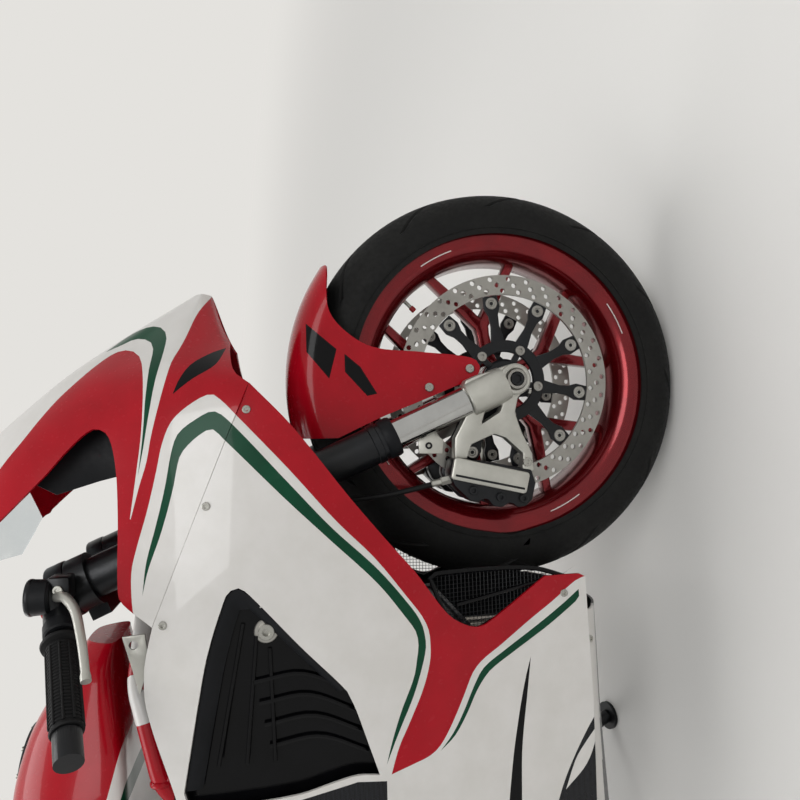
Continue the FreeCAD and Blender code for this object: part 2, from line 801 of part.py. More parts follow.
def fender_shape():
    """Arch with a crowned top and flat legs, all of one wall."""
    wall = size("fender_wall")
    half = size("fender_half")
    inner = front_radius + size("fender_gap")
    top = inner + wall
    right = [(half, 180), (half, top - 46), (half * 0.62, top - 10), (0, top)]
    outer = [Vector(0, y, r) for y, r in right] + [Vector(0, -y, r) for y, r in right[::-1][1:]]
    inside = [
        Vector(0, half - wall, 180), Vector(0, half - wall, top - 48),
        Vector(0, half * 0.6, inner - 10), Vector(0, 0, inner),
    ]
    inside = inside + [Vector(0, -p.y, p.z) for p in inside[::-1][1:]]
    loop = outer + inside[::-1]
    arch = Part.Face(Part.makePolygon(loop + loop[:1]))
    arch.rotate(Vector(0, 0, 0), Vector(0, 1, 0), -25)
    arch = arch.revolve(Vector(0, 0, 0), Vector(0, 1, 0), 75)
    arch = arch.common(prism(FENDER_TOP, -200, 200))
    leg = prism(FENDER_SIDE, -half, -half + wall)
    pieces = [leg, mirror_across(leg)]
    reach = size("fork_offset_side") - size("foot_half") - half
    for side in (RIGHT, LEFT):
        start = Vector(FENDER_LUG[0], side * half, FENDER_LUG[1])
        pieces.append(Part.makeCylinder(6, reach, start, Vector(0, side, 0)))
    for piece in pieces:
        arch = arch.fuse(piece)
    return arch


node(feature("fender_shell", fender_shape()), "front_fender", front_frame)

# Brake hose from the right caliper up to the lower yoke
HOSE = [(-141, -100, 395.2), (-150, -100, 430), (-164, -94, 500), (-170, -78, 590), (-176, -60, 672)]
hose_run = mirrored(HOSE, RIGHT)
hose_wire, hose_radii = route(hose_run)
hose = tube(hose_run, size("hose_radius"))
expected = math.pi * size("hose_radius") ** 2 * hose_wire.Length
print("brake_hose length", round(hose_wire.Length, 1), "radii", [round(r) for r in hose_radii])
if abs(hose.Volume / expected - 1) > 0.01:
    raise RuntimeError("brake_hose: volume %.0f for %.0f" % (hose.Volume, expected))
node(feature("brake_hose_run", hose), "brake_hose")

# Frame: head tube, then two trellis sides of welded tubes, tied by a cross tube under the tank
UPPER_RUN = [(-268, -22, 822), (-385, -138, 820), (-500, -158, 788), (-694, -134, 632)]
LOWER_RUN = [(-222, -28, 738), (-440, -158, 574), (-560, -160, 590), (-694, -132, 600)]
STRUTS = [
    [(-385, -138, 820), (-440, -158, 574)],
    [(-440, -158, 574), (-500, -158, 788)],
    [(-500, -158, 788), (-560, -160, 590)],
]
TANK_TUBE = [(-440, -146, 804), (-440, 146, 804)]
PLATE_FRONT = -691
frame_parts = []
for name, side in SIDES:
    frame_parts.append(bent("trellis_upper_" + name, mirrored(UPPER_RUN, side), "frame_tube"))
    frame_parts.append(bent("trellis_lower_" + name, mirrored(LOWER_RUN, side), "frame_tube"))
    for index, run in enumerate(STRUTS):
        frame_parts.append(rod("trellis_strut%d_%s" % (index, name), *mirrored(run, side), "frame_strut"))
head_low = steer_point(0, 0, size("lower_clamp") + tall + 1)
head_high = steer_point(0, 0, upper_clamp - 1)
frame_parts.append(rod("head_tube", head_low, head_high, "head_radius"))
frame_parts.append(rod("frame_tank_tube", Vector(*TANK_TUBE[0]), Vector(*TANK_TUBE[1]), "cross_tube"))
head_bore = rod("head_bore", head_low - steer_up * 50, head_high + steer_up * 50, "stem_radius + fit_gap")
frame_stop = block("frame_stop", Vector(-800, -200, 560), Vector(PLATE_FRONT, 200, 700))
node(cut("frame_bored", fuse("frame_solid", frame_parts), fuse("frame_tools", [head_bore, frame_stop])),
     "frame_trellis")

# Cast plates that carry the swingarm, tied by a cross tube for the shock. Corners (x, z).
ENGINE_REAR = size("engine_rear") - size("plate_gap")
PIVOT_PLATE = [
    (PLATE_FRONT, 650), (-700, 660), (-760, 660), (-790, 600), (-806, 470), (-800, 360), (-750, 300),
    (-700, 300), (ENGINE_REAR, 420), (ENGINE_REAR, 556), (PLATE_FRONT, 570),
]
SHOCK_TOP = (-752, 0, 634)
plate_parts = []
for name, side in SIDES:
    middle = "%s(plate_inner + plate_thick / 2)" % ("-" if side == LEFT else "")
    body = new_body("pivot_plate_" + name)
    sketch = outline(new_sketch(body, "plate_outline_" + name, "XZ_Plane", middle), PIVOT_PLATE)
    pad(body, "plate_casting_" + name, sketch, "plate_thick")
    hole = new_sketch(body, "plate_hole_" + name, "XZ_Plane", middle)
    circle(hole, "pivot_x", "pivot_z", "axle_radius")
    pocket(body, "plate_bore_" + name, hole, "3 * plate_thick")
    plate_parts.append(body)
plate_parts.append(
    rod("plate_cross", Vector(SHOCK_TOP[0], -120, SHOCK_TOP[2]), Vector(SHOCK_TOP[0], 120, SHOCK_TOP[2]),
        "cross_tube")
)
stand_pivot = Vector(size("stand_pivot_x"), size("stand_pivot_y"), size("stand_pivot_z"))
# The pivot's axis rises outward, so that the folded leg tucks in beside the chain.
stand_frame = Placement(stand_pivot, Rotation(Vector(1, 0, 0), size("stand_pivot_tilt")))
stand_bracket = block("stand_bracket_block", Vector(-738, 104, 240), Vector(-702, 128, 330))
stand_face = block("stand_bracket_face", Vector(-60, -size("stand_eye_half") - size("fit_gap"), -60),
                   Vector(60, 40, 1.6 * size("stand_leg_radius") + 4))
stand_face.Placement = stand_frame.multiply(stand_face.Placement)
plate_parts.append(cut("stand_bracket", stand_bracket, stand_face))
node(fuse("plate_pair", plate_parts), "pivot_plates")

# Engine: one plain block
engine = doc.addObject("Part::Box", "engine_block")
bind(engine, Length="engine_front - engine_rear", Width="2 * engine_half",
     Height="engine_top - engine_bottom")
engine_corner = Vector(size("engine_rear"), -size("engine_half"), size("engine_bottom"))
node(engine, "engine", Placement(engine_corner, Rotation()))

# Gearbox sprocket on its shaft, outside the left plate
front_sprocket = Vector(size("front_sprocket_x"), 0, size("front_sprocket_z"))
plate_face = size("plate_inner") + size("plate_thick")
chain_y = size("chain_y")
node(fuse("front_sprocket_solid", [
    rod("sprocket_shaft", front_sprocket + Vector(0, plate_face + size("plate_gap"), 0),
        front_sprocket + Vector(0, chain_y + 8, 0), "cross_tube * 1.8"),
    rod("sprocket_disc", front_sprocket + Vector(0, chain_y - 3, 0),
        front_sprocket + Vector(0, chain_y + 3, 0), "front_sprocket_radius"),
]), "front_sprocket")

# Radiator, tilted back between the fairings and hung from the frame's lower tubes
radiator_core = block("radiator_core", Vector(0, -135, 0), Vector(38, 135, 210))
radiator_core.Placement = Placement(Vector(-375, 0, 372), Rotation(Vector(0, 1, 0), -6)).multiply(
    radiator_core.Placement)
radiator_parts = [radiator_core]
radiator_tools = []
for name, side in SIDES:
    low, high = sorted((side * 108, side * 128))
    radiator_parts.append(block("radiator_lug_" + name, Vector(-386, low, 576), Vector(-362, high, 626)))
    radiator_tools.append(bent("radiator_saddle_" + name, mirrored(LOWER_RUN, side), "frame_tube",
                               extra=size("fit_gap")))
    radiator_tools.append(
        block("radiator_top_" + name, Vector(-420, low - 5, 622), Vector(-330, high + 5, 700))
    )
radiator_cut = cut(
    "radiator_cut", fuse("radiator_solid", radiator_parts), fuse("radiator_tools", radiator_tools)
)
node(radiator_cut, "radiator")

# Exhaust: three headers down the front of the engine, a collector under it and a short silencer
exhaust_front = size("engine_front") + size("fit_gap")
exhaust_parts = []
for index, y in enumerate((-70, 0, 70)):
    run = [Vector(exhaust_front, y, 470), Vector(-402, y, 436), Vector(-402, y, 240),
           Vector(-450, y * 0.8, 195), Vector(-640, y * 0.4, 191)]
    exhaust_parts.append(bent("header%d" % index, run, "header_tube"))
exhaust_parts.append(block("collector", Vector(-720, -70, 168), Vector(-600, 70, 214)))
exhaust_parts.append(block("silencer", Vector(-990, -100, 180), Vector(-720, 70, 262)))
exhaust_parts.append(block("outlet_box", Vector(-1000, -118, 190), Vector(-930, -70, 330)))
for index in range(3):
    start = Vector(-965, -88, 212 + 44 * index)
    exhaust_parts.append(rod("outlet%d" % index, start, start + Vector(-65, -66, 22), "outlet_tube"))
exhaust_stop = block(
    "exhaust_stop", Vector(-686, -144, size("engine_bottom")), Vector(exhaust_front, 144, 600))
node(cut("exhaust_cut", fuse("exhaust_solid", exhaust_parts), exhaust_stop), "exhaust")

# Swingarm: one arm, on the left of the wheel. Corners (x, z).
REAR = rear_axle.x
ARM_SIDE = [
    (-822, 448), (-1000, 420), (REAR + 130, 408), (REAR - 20, 372), (REAR - 56, 315), (REAR - 20, 262),
    (REAR + 100, 250), (-1000, 318), (-822, 352),
]
arm_inner, arm_outer = size("arm_inner"), size("arm_outer")
pivot_reach = size("plate_inner") - size("plate_gap")
ARM_ROOT_TOP = 432
arm_parts = [
    feature("arm_beam", prism(ARM_SIDE, arm_inner, arm_outer)),
    block("arm_root", Vector(-900, -110, 372), Vector(-770, 110, ARM_ROOT_TOP)),
    block("arm_shoulder", Vector(-900, 60, 345), Vector(-822, arm_outer, 440)),
    rod("arm_pivot", Vector(size("pivot_x"), -pivot_reach, size("pivot_z")),
        Vector(size("pivot_x"), pivot_reach, size("pivot_z")), "pivot_radius"),
    rod("arm_carrier", rear_axle + Vector(0, arm_inner - 6, 0), rear_axle + Vector(0, arm_outer, 0),
        "rear_carrier_radius"),
]
arm_hole = rod("arm_bore", rear_axle + Vector(0, 80, 0), rear_axle + Vector(0, 200, 0),
               "rear_axle_radius + fit_gap")
node(cut("arm_bored", fuse("arm_solid", arm_parts), arm_hole), "swingarm")

# Rear hub shaft with the disc and the sprocket
node(ring("hub_shaft", "rear_axle_radius", "rear_axle_bore", "rear_hub_half", "chain_y + 20"),
     "rear_shaft", rear_frame)
node(ring("rear_disc_ring", "rear_disc_radius", "rear_axle_radius + fit_gap", "rear_disc_offset",
          "rear_disc_offset + disc_thickness"), "rear_disc", rear_frame)
node(ring("sprocket_ring", "sprocket_radius", "rear_axle_radius + fit_gap", "chain_y - 3", "chain_y + 3"),
     "rear_sprocket", rear_frame)


def chain_shape():
    """Closed loop of chain around both sprockets, as one band."""
    front = front_sprocket
    rear = Vector(rear_axle.x, 0, rear_axle.z)
    bands = []
    for grow in (size("chain_depth"), 0):
        small = size("front_sprocket_radius") + 0.5 + grow
        large = size("sprocket_radius") + 0.5 + grow
        span = front - rear
        tilt = math.atan2(span.z, span.x)
        spread = math.acos((large - small) / span.Length)
        high = Vector(math.cos(tilt + spread), 0, math.sin(tilt + spread))
        low = Vector(math.cos(tilt - spread), 0, math.sin(tilt - spread))
        along = Vector(math.cos(tilt), 0, math.sin(tilt))
        wire = Part.Wire([
            Part.LineSegment(rear + high * large, front + high * small).toShape(),
            Part.Arc(front + high * small, front + along * small, front + low * small).toShape(),
            Part.LineSegment(front + low * small, rear + low * large).toShape(),
            Part.Arc(rear + low * large, rear - along * large, rear + high * large).toShape(),
        ])
        bands.append(Part.Face(wire).extrude(Vector(0, size("chain_width"), 0)))
    band = bands[0].cut(bands[1])
    band.translate(Vector(0, chain_y - size("chain_width") / 2, 0))
    return band


node(feature("chain_loop", chain_shape()), "chain")

# Rear caliper on the arm
rear_caliper = cut(
    "rear_caliper_cut",
    block("rear_caliper_block", Vector(REAR + 70, 62, 344), Vector(REAR + 118, arm_inner, 412)),
    rod("rear_caliper_slot", rear_axle + Vector(0, size("rear_disc_offset") - 5, 0),
        rear_axle + Vector(0, size("rear_disc_offset") + size("disc_thickness") + 5, 0),
        "rear_disc_radius + 5"),
)
node(rear_caliper, "rear_caliper")

# Shock between the plates' cross tube and the swingarm's root
shock_low = Vector(-842, 0, ARM_ROOT_TOP)
shock_high = Vector(*SHOCK_TOP)
shock_way = (shock_high - shock_low) / (shock_high - shock_low).Length
shock_parts = [
    rod("shock_spring", shock_low + shock_way * 46, shock_high - shock_way * 36, "pivot_radius"),
    rod("shock_rod", shock_low - shock_way * 12, shock_high, "cross_tube"),
]
shock_tools = [
    block("shock_seat", Vector(-900, -60, 380), Vector(-760, 60, ARM_ROOT_TOP + size("fit_gap"))),
    rod("shock_eye", shock_high - Vector(0, 60, 0), shock_high + Vector(0, 60, 0), "cross_tube + fit_gap"),
    block("shock_end", shock_high - Vector(60, 60, 0), shock_high + Vector(60, 60, 60)),
]
node(cut("shock_cut", fuse("shock_solid", shock_parts), fuse("shock_tools", shock_tools)), "shock")

# Subframe behind the plates
RAIL = [(-735, -100, 669), (-800, -98, 722), (-1180, -72, 800), (-1420, -46, 846)]
BRACE = [(-778, -104, 590), (-1180, -72, 800)]
PLATE_TOP = 660
subframe_parts = []
for name, side in SIDES:
    subframe_parts.append(bent("subframe_rail_" + name, mirrored(RAIL, side), "subframe_tube"))
    subframe_parts.append(rod("subframe_brace_" + name, *mirrored(BRACE, side), "subframe_tube"))
    ends = mirrored([RAIL[0], (RAIL[0][0], -134, RAIL[0][2])], side)
    subframe_parts.append(rod("subframe_foot_" + name, *ends, "subframe_tube"))
    ends = mirrored([BRACE[0], (BRACE[0][0], -pivot_reach, BRACE[0][2])], side)
    subframe_parts.append(rod("subframe_lug_" + name, *ends, "subframe_tube"))
for name, (x, y, z) in (("cross", RAIL[2]), ("tail", RAIL[3])):
    subframe_parts.append(rod("subframe_" + name, Vector(x, y, z), Vector(x, -y, z), "subframe_tube"))
subframe_stop = block("subframe_stop", Vector(-760, -200, 600), Vector(-640, 200, PLATE_TOP + size("fit_gap")))
node(cut("subframe_cut", fuse("subframe_solid", subframe_parts), subframe_stop), "subframe")

# Fuel tank: sections across the bike, each (half width, height) from the top centre down.
TANK = [
    (-352, [(0, 908), (34, 904), (52, 886), (56, 868), (0, 862)]),
    (-410, [(0, 948), (58, 940), (92, 908), (100, 868), (0, 850)]),
    (-480, [(0, 985), (78, 972), (122, 920), (132, 850), (0, 840)]),
    (-570, [(0, 1003), (88, 988), (140, 930), (146, 840), (0, 830)]),
    (-670, [(0, 985), (82, 968), (132, 905), (128, 800), (0, 790)]),
    (-770, [(0, 905), (62, 890), (96, 850), (96, 790), (0, 780)]),
]
# Seats and tail, drawn the same way
SEAT = [
    (-770.3, [(0, 812), (70, 806), (92, 790), (80, 776), (0, 776)]),
    (-880, [(0, 806), (104, 800), (130, 780), (110, 762), (0, 762)]),
    (-1000, [(0, 822), (118, 816), (140, 795), (120, 778), (0, 778)]),
    (-1095.7, [(0, 868), (104, 858), (124, 828), (104, 803), (0, 815)]),
]
TAIL = [
    (-1096, [(0, 874), (100, 866), (128, 838), (100, 799), (0, 815)]),
    (-1200, [(0, 916), (104, 906), (126, 872), (96, 826), (0, 826)]),
    (-1400, [(0, 936), (92, 926), (108, 896), (78, 862), (0, 862)]),
    (-1600, [(0, 940), (60, 932), (72, 912), (50, 886), (0, 886)]),
    (-1745, [(0, 930), (26, 926), (32, 918), (24, 906), (0, 904)]),
]
PILLION = [
    (-1150, [(0, 934), (84, 926), (92, 912), (84, 895), (0, 899)]),
    (-1270, [(0, 964), (88, 956), (96, 936), (86, 913), (0, 918)]),
    (-1400, [(0, 972), (78, 964), (84, 948), (76, 929), (0, 936.5)]),
]


def box_shape(low, high):
    """A box between two corners, as a bare shape."""
    return Part.makeBox(high.x - low.x, high.y - low.y, high.z - low.z, low)


def saddled(shape, feet, runs):
    """A shape with feet joined on and cut to rest a fit gap above tubes."""
    for low, high in feet:
        shape = shape.fuse(box_shape(Vector(*low), Vector(*high)))
    for points, radius in runs:
        bend = size("tube_bend") if len(points) > 2 else None
        shape = shape.cut(tube(points, size(radius) + size("fit_gap"), bend))
    return shape


rails = [(mirrored(RAIL, side), "subframe_tube") for name, side in SIDES]
tank_seat = [([Vector(*TANK_TUBE[0]), Vector(*TANK_TUBE[1])], "cross_tube")]
tank_foot = [((-454, -24, 804), (-426, 24, 852))]
node(feature("tank_body", saddled(solid_loft(whole(TANK)), tank_foot, tank_seat)), "fuel_tank")
seat_feet = [((-895, -104, 738), (-873, -82, 768)), ((-895, 82, 738), (-873, 104, 768))]
node(feature("seat_body", saddled(solid_loft(whole(SEAT)), seat_feet, rails)), "seat_rider")
tail_feet = [((-1220, -80, 806), (-1198, -58, 832)), ((-1220, 58, 806), (-1198, 80, 832))]
tail_shape = solid_loft(whole(TAIL))
node(feature("tail_body", saddled(tail_shape, tail_feet, rails)), "tail_cowl")
tail_raised = tail_shape.translated(Vector(0, 0, size("fit_gap")))
node(feature("pillion_body", solid_loft(whole(PILLION)).cut(tail_raised)), "seat_pillion")
node(block("tail_lamp", Vector(-1757, -30, 909), Vector(-1745.3, 30, 925)), "tail_light")

# Side hull: stations along the bike, each (half width, height) from the top down.
HULL = [
    (60, [(96, 830), (118, 760), (140, 690), (150, 600), (150, 500), (140, 400), (130, 300), (120, 180)]),
    (0, [(128, 830), (160, 760), (178, 690), (186, 600), (180, 500), (160, 400), (145, 300), (128, 180)]),
    (-100, [(160, 838), (188, 760), (202, 690), (206, 600), (198, 500), (178, 400), (156, 300), (134, 180)]),
    (-300, [(176, 838), (204, 760), (214, 690), (214, 600), (204, 500), (186, 400), (164, 300), (138, 180)]),
    (-480, [(172, 838), (196, 760), (206, 690), (206, 600), (200, 500), (186, 400), (168, 300), (142, 180)]),
    (-680, [(168, 838), (184, 760), (192, 690), (194, 600), (190, 500), (180, 400), (164, 300), (140, 180)]),
]
# Side fairing outline (x, z), and the vent through it.
FAIRING_SIDE = [
    (-299.6, 792.4), (-2, 672), (-58, 620), (-151, 549), (-205, 505), (-251, 466), (-289, 439), (-312, 420),
    (-326, 397), (-330, 381), (-326, 366), (-274, 278), (-276, 224), (-281, 214), (-449, 209), (-625, 208),
    (-640, 330), (-664, 520), (-640, 660), (-560, 752), (-500, 770), (-400, 801), (-350, 803),
]
VENT = [
    (-252, 692), (-270, 668), (-388, 560), (-416, 547), (-500, 519), (-497, 547), (-512, 620), (-520, 752),
    (-500, 758), (-352, 731), (-275, 708),
]
# Bosses on the inside of the fairing (x, y of the inner end, y inside the panel, z)
ENGINE_BOSS = (-470, -size("engine_half") - size("fit_gap"), -165.5, 300)
FRAME_BOSS = (-560, -164, -198.5, 590)
hull_lines = [(x, [(-side, up) for side, up in line]) for x, line in HULL]
side_hull = shell_loft(hull_lines, size("panel_wall"))
fairing = side_hull.common(prism(FAIRING_SIDE, -300, -60)).cut(prism(VENT, -300, -60))
for x, inner, outer, z in (ENGINE_BOSS, FRAME_BOSS):
    boss = Part.makeCylinder(size("boss_radius"), inner - outer, Vector(x, outer, z), Vector(0, 1, 0))
    fairing = fairing.fuse(boss)
tube_room = tube(mirrored(LOWER_RUN, RIGHT), size("frame_tube") + size("fit_gap"), size("tube_bend"))
fairing = fairing.cut(tube_room)
node(feature("fairing_right", fairing), "side_fairing_right")
node(feature("fairing_left", mirror_across(fairing)), "side_fairing_left")

# Duct grille behind the front edge of each side fairing. Corners (x, z).
DUCT = [(-344, 384), (-326, 430), (-268, 452), (-255, 436), (-264, 290), (-290, 274)]
duct = shell_loft(hull_lines, size("grille_wall"), size("panel_wall") + size("fit_gap"))
duct = duct.common(prism(DUCT, -300, -60))
node(feature("duct_pair", Part.Compound([duct, mirror_across(duct)])), "duct_grilles")

# Nose cowl and screen: sections from the lower edge over the top, the side hull's own up to 838.
NOSE = [
    (138, [(6, 731), (14, 735), (24, 743), (20, 748), (12, 754), (0, 757)]),
    (60, [(86, 700), (100, 716), (106, 762), (70, 820), (46, 858), (0, 880)]),
    (0, [(183, 640), (178, 690), (160, 760), (128, 830), (78, 915), (0, 956)]),
    (-100, [(204.2, 640), (202, 690), (188, 760), (160, 838), (110, 972), (0, 1038)]),
    (-200, [(209.1, 640), (208, 690), (196, 760), (168, 838), (124, 1010), (0, 1080)]),
    (-300, [(214, 640), (214, 690), (204, 760), (176, 838), (130, 1032), (0, 1108)]),
]
COWL_SIDE = [
    (-299.6, 793), (-2, 672.6), (15, 692), (60, 700), (118, 700), (160, 730), (160, 800), (60, 930), (-40, 1020),
    (-158, 971), (-70, 905), (-50, 900), (-56, 862), (-73, 848), (-108, 839), (-250, 836), (-270, 832),
]
SCREEN_SIDE = [(-40, 1020.6), (-158, 971.6), (-250, 1040), (-262, 1120), (-120, 1120), (-20, 1060)]


def over_the_top(sections):
    """Section lines from the left lower edge over the top to the right, for halves from the lower edge up."""
    result = []
    for x, half in sections:
        left = list(half)
        right = [(-side, up) for side, up in half[::-1] if side]
        result.append((x, left + right))
    return result


nose_hull = shell_loft(over_the_top(NOSE), size("panel_wall"))
cowl = nose_hull.common(prism(COWL_SIDE, -300, 300))
node(feature("cowl_shell", cowl), "front_cowl")
node(feature("screen_shell", nose_hull.common(prism(SCREEN_SIDE, -300, 300))), "windscreen")

# Stay from the head tube to the nose: a beam, two arms out to the cowl and a post for the dash
LAMP = (Vector(20, -45, 726), Vector(74, 45, 766))
STAY_ARM = (-60, 190, 752)
DASH = (Vector(-118, -70, 872), Vector(-84, 70, 944))
STAY_FRONT = LAMP[0].x - 0.3
stay_parts = [
    prism([(-215, 748), (-215, 776), (-100, 764), (STAY_FRONT, 760), (STAY_FRONT, 736), (-100, 738)], -17, 17),
    Part.makeCylinder(8, 2 * STAY_ARM[1], Vector(STAY_ARM[0], -STAY_ARM[1], STAY_ARM[2]), Vector(0, 1, 0)),
    box_shape(Vector(-112, -12, 750), Vector(-98, 12, DASH[0].z - 0.3)),
]
stay = stay_parts[0].fuse(stay_parts[1]).fuse(stay_parts[2])
inside_depth = size("panel_wall") + size("fit_gap")
inside_lines = [(x, offset_inward(line, inside_depth)) for x, line in over_the_top(NOSE)]
stay = stay.common(solid_loft(inside_lines))
head_clear = Part.makeCylinder(size("head_radius") + size("fit_gap"), 400, steer_point(0, 0, 350), steer_up)
node(feature("stay_solid", stay.cut(head_clear)), "fairing_stay")
node(block("headlight_body", *LAMP), "headlight")
node(block("dash_body", *DASH), "dash")

# Belly pan under the engine, its upper edge just inside the side fairings
BELLY = [
    (-330, [(142.6, 220), (134, 204), (112, 189), (70, 173), (0, 171)]),
    (-480, [(146.0, 220), (140, 203), (118, 188), (76, 170), (0, 168)]),
    (-655, [(144.2, 220), (136, 200), (114, 178), (76, 158), (0, 156)]),
]
node(feature("belly_shell", shell_loft(whole(BELLY), size("panel_wall"))), "belly_pan")

# Foot rests: a plate on two spacers and a peg, one a side. Corners (x, z).
REST_PLATE = [(-745, 585), (-775, 592), (-835, 560), (-905, 440), (-888, 405), (-800, 470)]
REST_SPACERS = [(-762, 572), (-784, 505)]
REST_PEG = (-884, 424)
REST_INNER, REST_OUTER, PEG_END = 171, 179, 256
rest_parts = []
for name, side in SIDES:
    low, high = sorted((side * REST_INNER, side * REST_OUTER))
    rest_parts.append(feature("rest_plate_" + name, prism(REST_PLATE, low, high)))
    for index, (x, z) in enumerate(REST_SPACERS):
        rest_parts.append(rod("rest_spacer%d_%s" % (index, name), Vector(x, side * (plate_face + 0.3), z),
                              Vector(x, side * (REST_INNER + 2), z), "boss_radius"))
    rest_parts.append(rod("rest_peg_" + name, Vector(REST_PEG[0], side * (REST_OUTER - 4), REST_PEG[1]),
                          Vector(REST_PEG[0], side * PEG_END, REST_PEG[1]), "bar_radius"))
node(fuse("rest_pair", rest_parts), "rearsets")

# Plate holder: an arm under the tail and a blank plate
PLATE_ARM = [
    (-1600, 885.7), (-1640, 885.7), (-1650, 868), (-1746, 730), (-1746, 706), (-1625, 858), (-1600, 866),
]
plate_arm = prism(PLATE_ARM, -14, 14)
plate_arm = plate_arm.fuse(box_shape(Vector(-1750, -90, 640), Vector(-1745, 90, 770)))
node(feature("plate_arm_solid", plate_arm), "plate_holder")

# Side stand, from its pivot to a foot that lies on the ground
to_bike = leaned.inverse()
ground_up = to_bike.Rotation.multVec(Vector(0, 0, 1))
ground = to_bike.multVec(Vector(0, 0, 0))
foot_x, foot_y = size("stand_foot_x"), size("stand_foot_y")
foot_z = ground.z - (ground_up.x * (foot_x - ground.x) + ground_up.y * (foot_y - ground.y)) / ground_up.z
foot_ground = Vector(foot_x, foot_y, foot_z)
stand_foot = doc.addObject("Part::Cylinder", "stand_shoe")
bind(stand_foot, Radius="stand_foot_radius", Height="stand_foot_thick")
stand_foot.Placement = Placement(foot_ground, to_bike.Rotation)
foot_top = foot_ground + ground_up * (size("stand_foot_thick") - 1)
stand_parts = [
    stand_foot,
    rod("stand_leg", stand_pivot, foot_top, "stand_leg_radius"),
    rod("stand_eye", stand_frame.multVec(Vector(0, -size("stand_eye_half"), 0)),
        stand_frame.multVec(Vector(0, size("stand_eye_half"), 0)), "stand_leg_radius * 1.6"),
]
stand_floor = block("stand_floor", Vector(-40, -40, -60), Vector(40, 40, 0))
stand_floor.Placement = Placement(foot_ground, to_bike.Rotation).multiply(stand_floor.Placement)
bracket_face = block("bracket_face", Vector(-40, -30, -40), Vector(40, -size("stand_eye_half"), 40))
bracket_face.Placement = stand_frame.multiply(bracket_face.Placement)
node(cut("stand_cut", fuse("stand_solid", stand_parts), fuse("stand_tools", [stand_floor, bracket_face])),
     "side_stand")

doc.recompute()


def check(item):
    """Stop on a failed object or an unsound shape."""
    state = set(item.State) & {"Invalid", "Error"}
    if state:
        raise RuntimeError("%s: %s" % (item.Label, ", ".join(sorted(state))))


for item in doc.Objects:
    check(item)
for label, (item, placement) in NODES.items():
    item.Placement = leaned.multiply(placement)
doc.recompute()
low = Vector(1e9, 1e9, 1e9)
high = Vector(-1e9, -1e9, -1e9)
for label, (item, placement) in NODES.items():
    shape = item.Shape
    if shape.isNull() or not shape.isValid() or not shape.Solids:
        raise RuntimeError("unsound shape: " + label)
    box = shape.optimalBoundingBox(False, False)
    low = Vector(min(low.x, box.XMin), min(low.y, box.YMin), min(low.z, box.ZMin))
    high = Vector(max(high.x, box.XMax), max(high.y, box.YMax), max(high.z, box.ZMax))
shift = Vector(-(low.x + high.x) / 2, -(low.y + high.y) / 2, -low.z)
row_frame = Placement(shift, Rotation()).multiply(leaned)
for label, (item, placement) in NODES.items():
    item.Placement = row_frame.multiply(placement)
doc.recompute()

os.makedirs("parts", exist_ok=True)
for item in doc.Objects:
    check(item)
for label, (item, placement) in NODES.items():
    if item.Shape.isNull() or not item.Shape.isValid():
        raise RuntimeError("unsound shape: " + label)
    item.Shape.exportStep("parts/%s.step" % label)

print("nodes", len(NODES))
print("box", [round(v, 2) for v in (high - low)])
print("row_base", list(row_frame.Base), list(row_frame.Rotation.Q))
for label, point in (
    ("front_axle", front_axle), ("rear_axle", rear_axle), ("steer_base", steer_base),
    ("steer_top", steer_base + steer_up * 100), ("stand_pivot", stand_pivot), ("foot", foot_ground),
):
    print(label, [round(v, 4) for v in row_frame.multVec(point)])
print("lateral", [round(v, 6) for v in row_frame.Rotation.multVec(Vector(0, 1, 0))])
stand_axis = row_frame.Rotation.multVec(stand_frame.Rotation.multVec(Vector(0, 1, 0)))
print("stand_axis", [round(v, 6) for v in stand_axis])
for label, (item, placement) in NODES.items():
    print("  %-22s solids %d volume %.0f" % (label, len(item.Shape.Solids), item.Shape.Volume))
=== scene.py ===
"""Looks of the sport bike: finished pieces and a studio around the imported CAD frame.

Shapes are drawn in millimetres in the upright bike frame (x forward, y to the bike's left,
z up, origin on the ground below the front axle) and placed in the leaned row frame last.
"""
import json
import logging
import math
from bisect import bisect_right
from dataclasses import dataclass, field
from enum import Enum

import bmesh
import bpy
from mathutils import Matrix, Vector
from mathutils.bvhtree import BVHTree


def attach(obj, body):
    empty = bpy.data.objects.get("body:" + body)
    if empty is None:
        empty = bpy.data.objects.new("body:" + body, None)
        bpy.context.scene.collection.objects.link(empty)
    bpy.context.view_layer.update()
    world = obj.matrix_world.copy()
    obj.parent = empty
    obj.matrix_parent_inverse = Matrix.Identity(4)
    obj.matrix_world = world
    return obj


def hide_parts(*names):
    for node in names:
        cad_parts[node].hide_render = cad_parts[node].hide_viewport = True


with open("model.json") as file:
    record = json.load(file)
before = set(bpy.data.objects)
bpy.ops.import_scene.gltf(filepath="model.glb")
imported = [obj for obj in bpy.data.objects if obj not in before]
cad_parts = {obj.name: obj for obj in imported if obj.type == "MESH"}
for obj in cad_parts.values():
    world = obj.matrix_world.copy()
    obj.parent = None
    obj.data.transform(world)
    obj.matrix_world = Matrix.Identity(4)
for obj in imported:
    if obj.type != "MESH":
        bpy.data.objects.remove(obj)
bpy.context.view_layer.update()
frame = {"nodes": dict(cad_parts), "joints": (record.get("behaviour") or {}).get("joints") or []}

log = logging.getLogger("sport_bike")

# Key points of the upright bike, in millimetres.
FRONT_AXLE = Vector((0, 0, 299.9))
REAR_AXLE = Vector((-1380, 0, 314.9))
RAKE = math.radians(23.5)
STEER_FORWARD = Vector((math.cos(RAKE), 0, math.sin(RAKE)))
STEER_UP = Vector((-math.sin(RAKE), 0, math.cos(RAKE)))
STEER_BASE = Vector((-26.4, 0, 288.4))
FORK_OFFSET = 28.8
FORK_SIDE = 105.0
ACROSS = Vector((0, 1, 0))
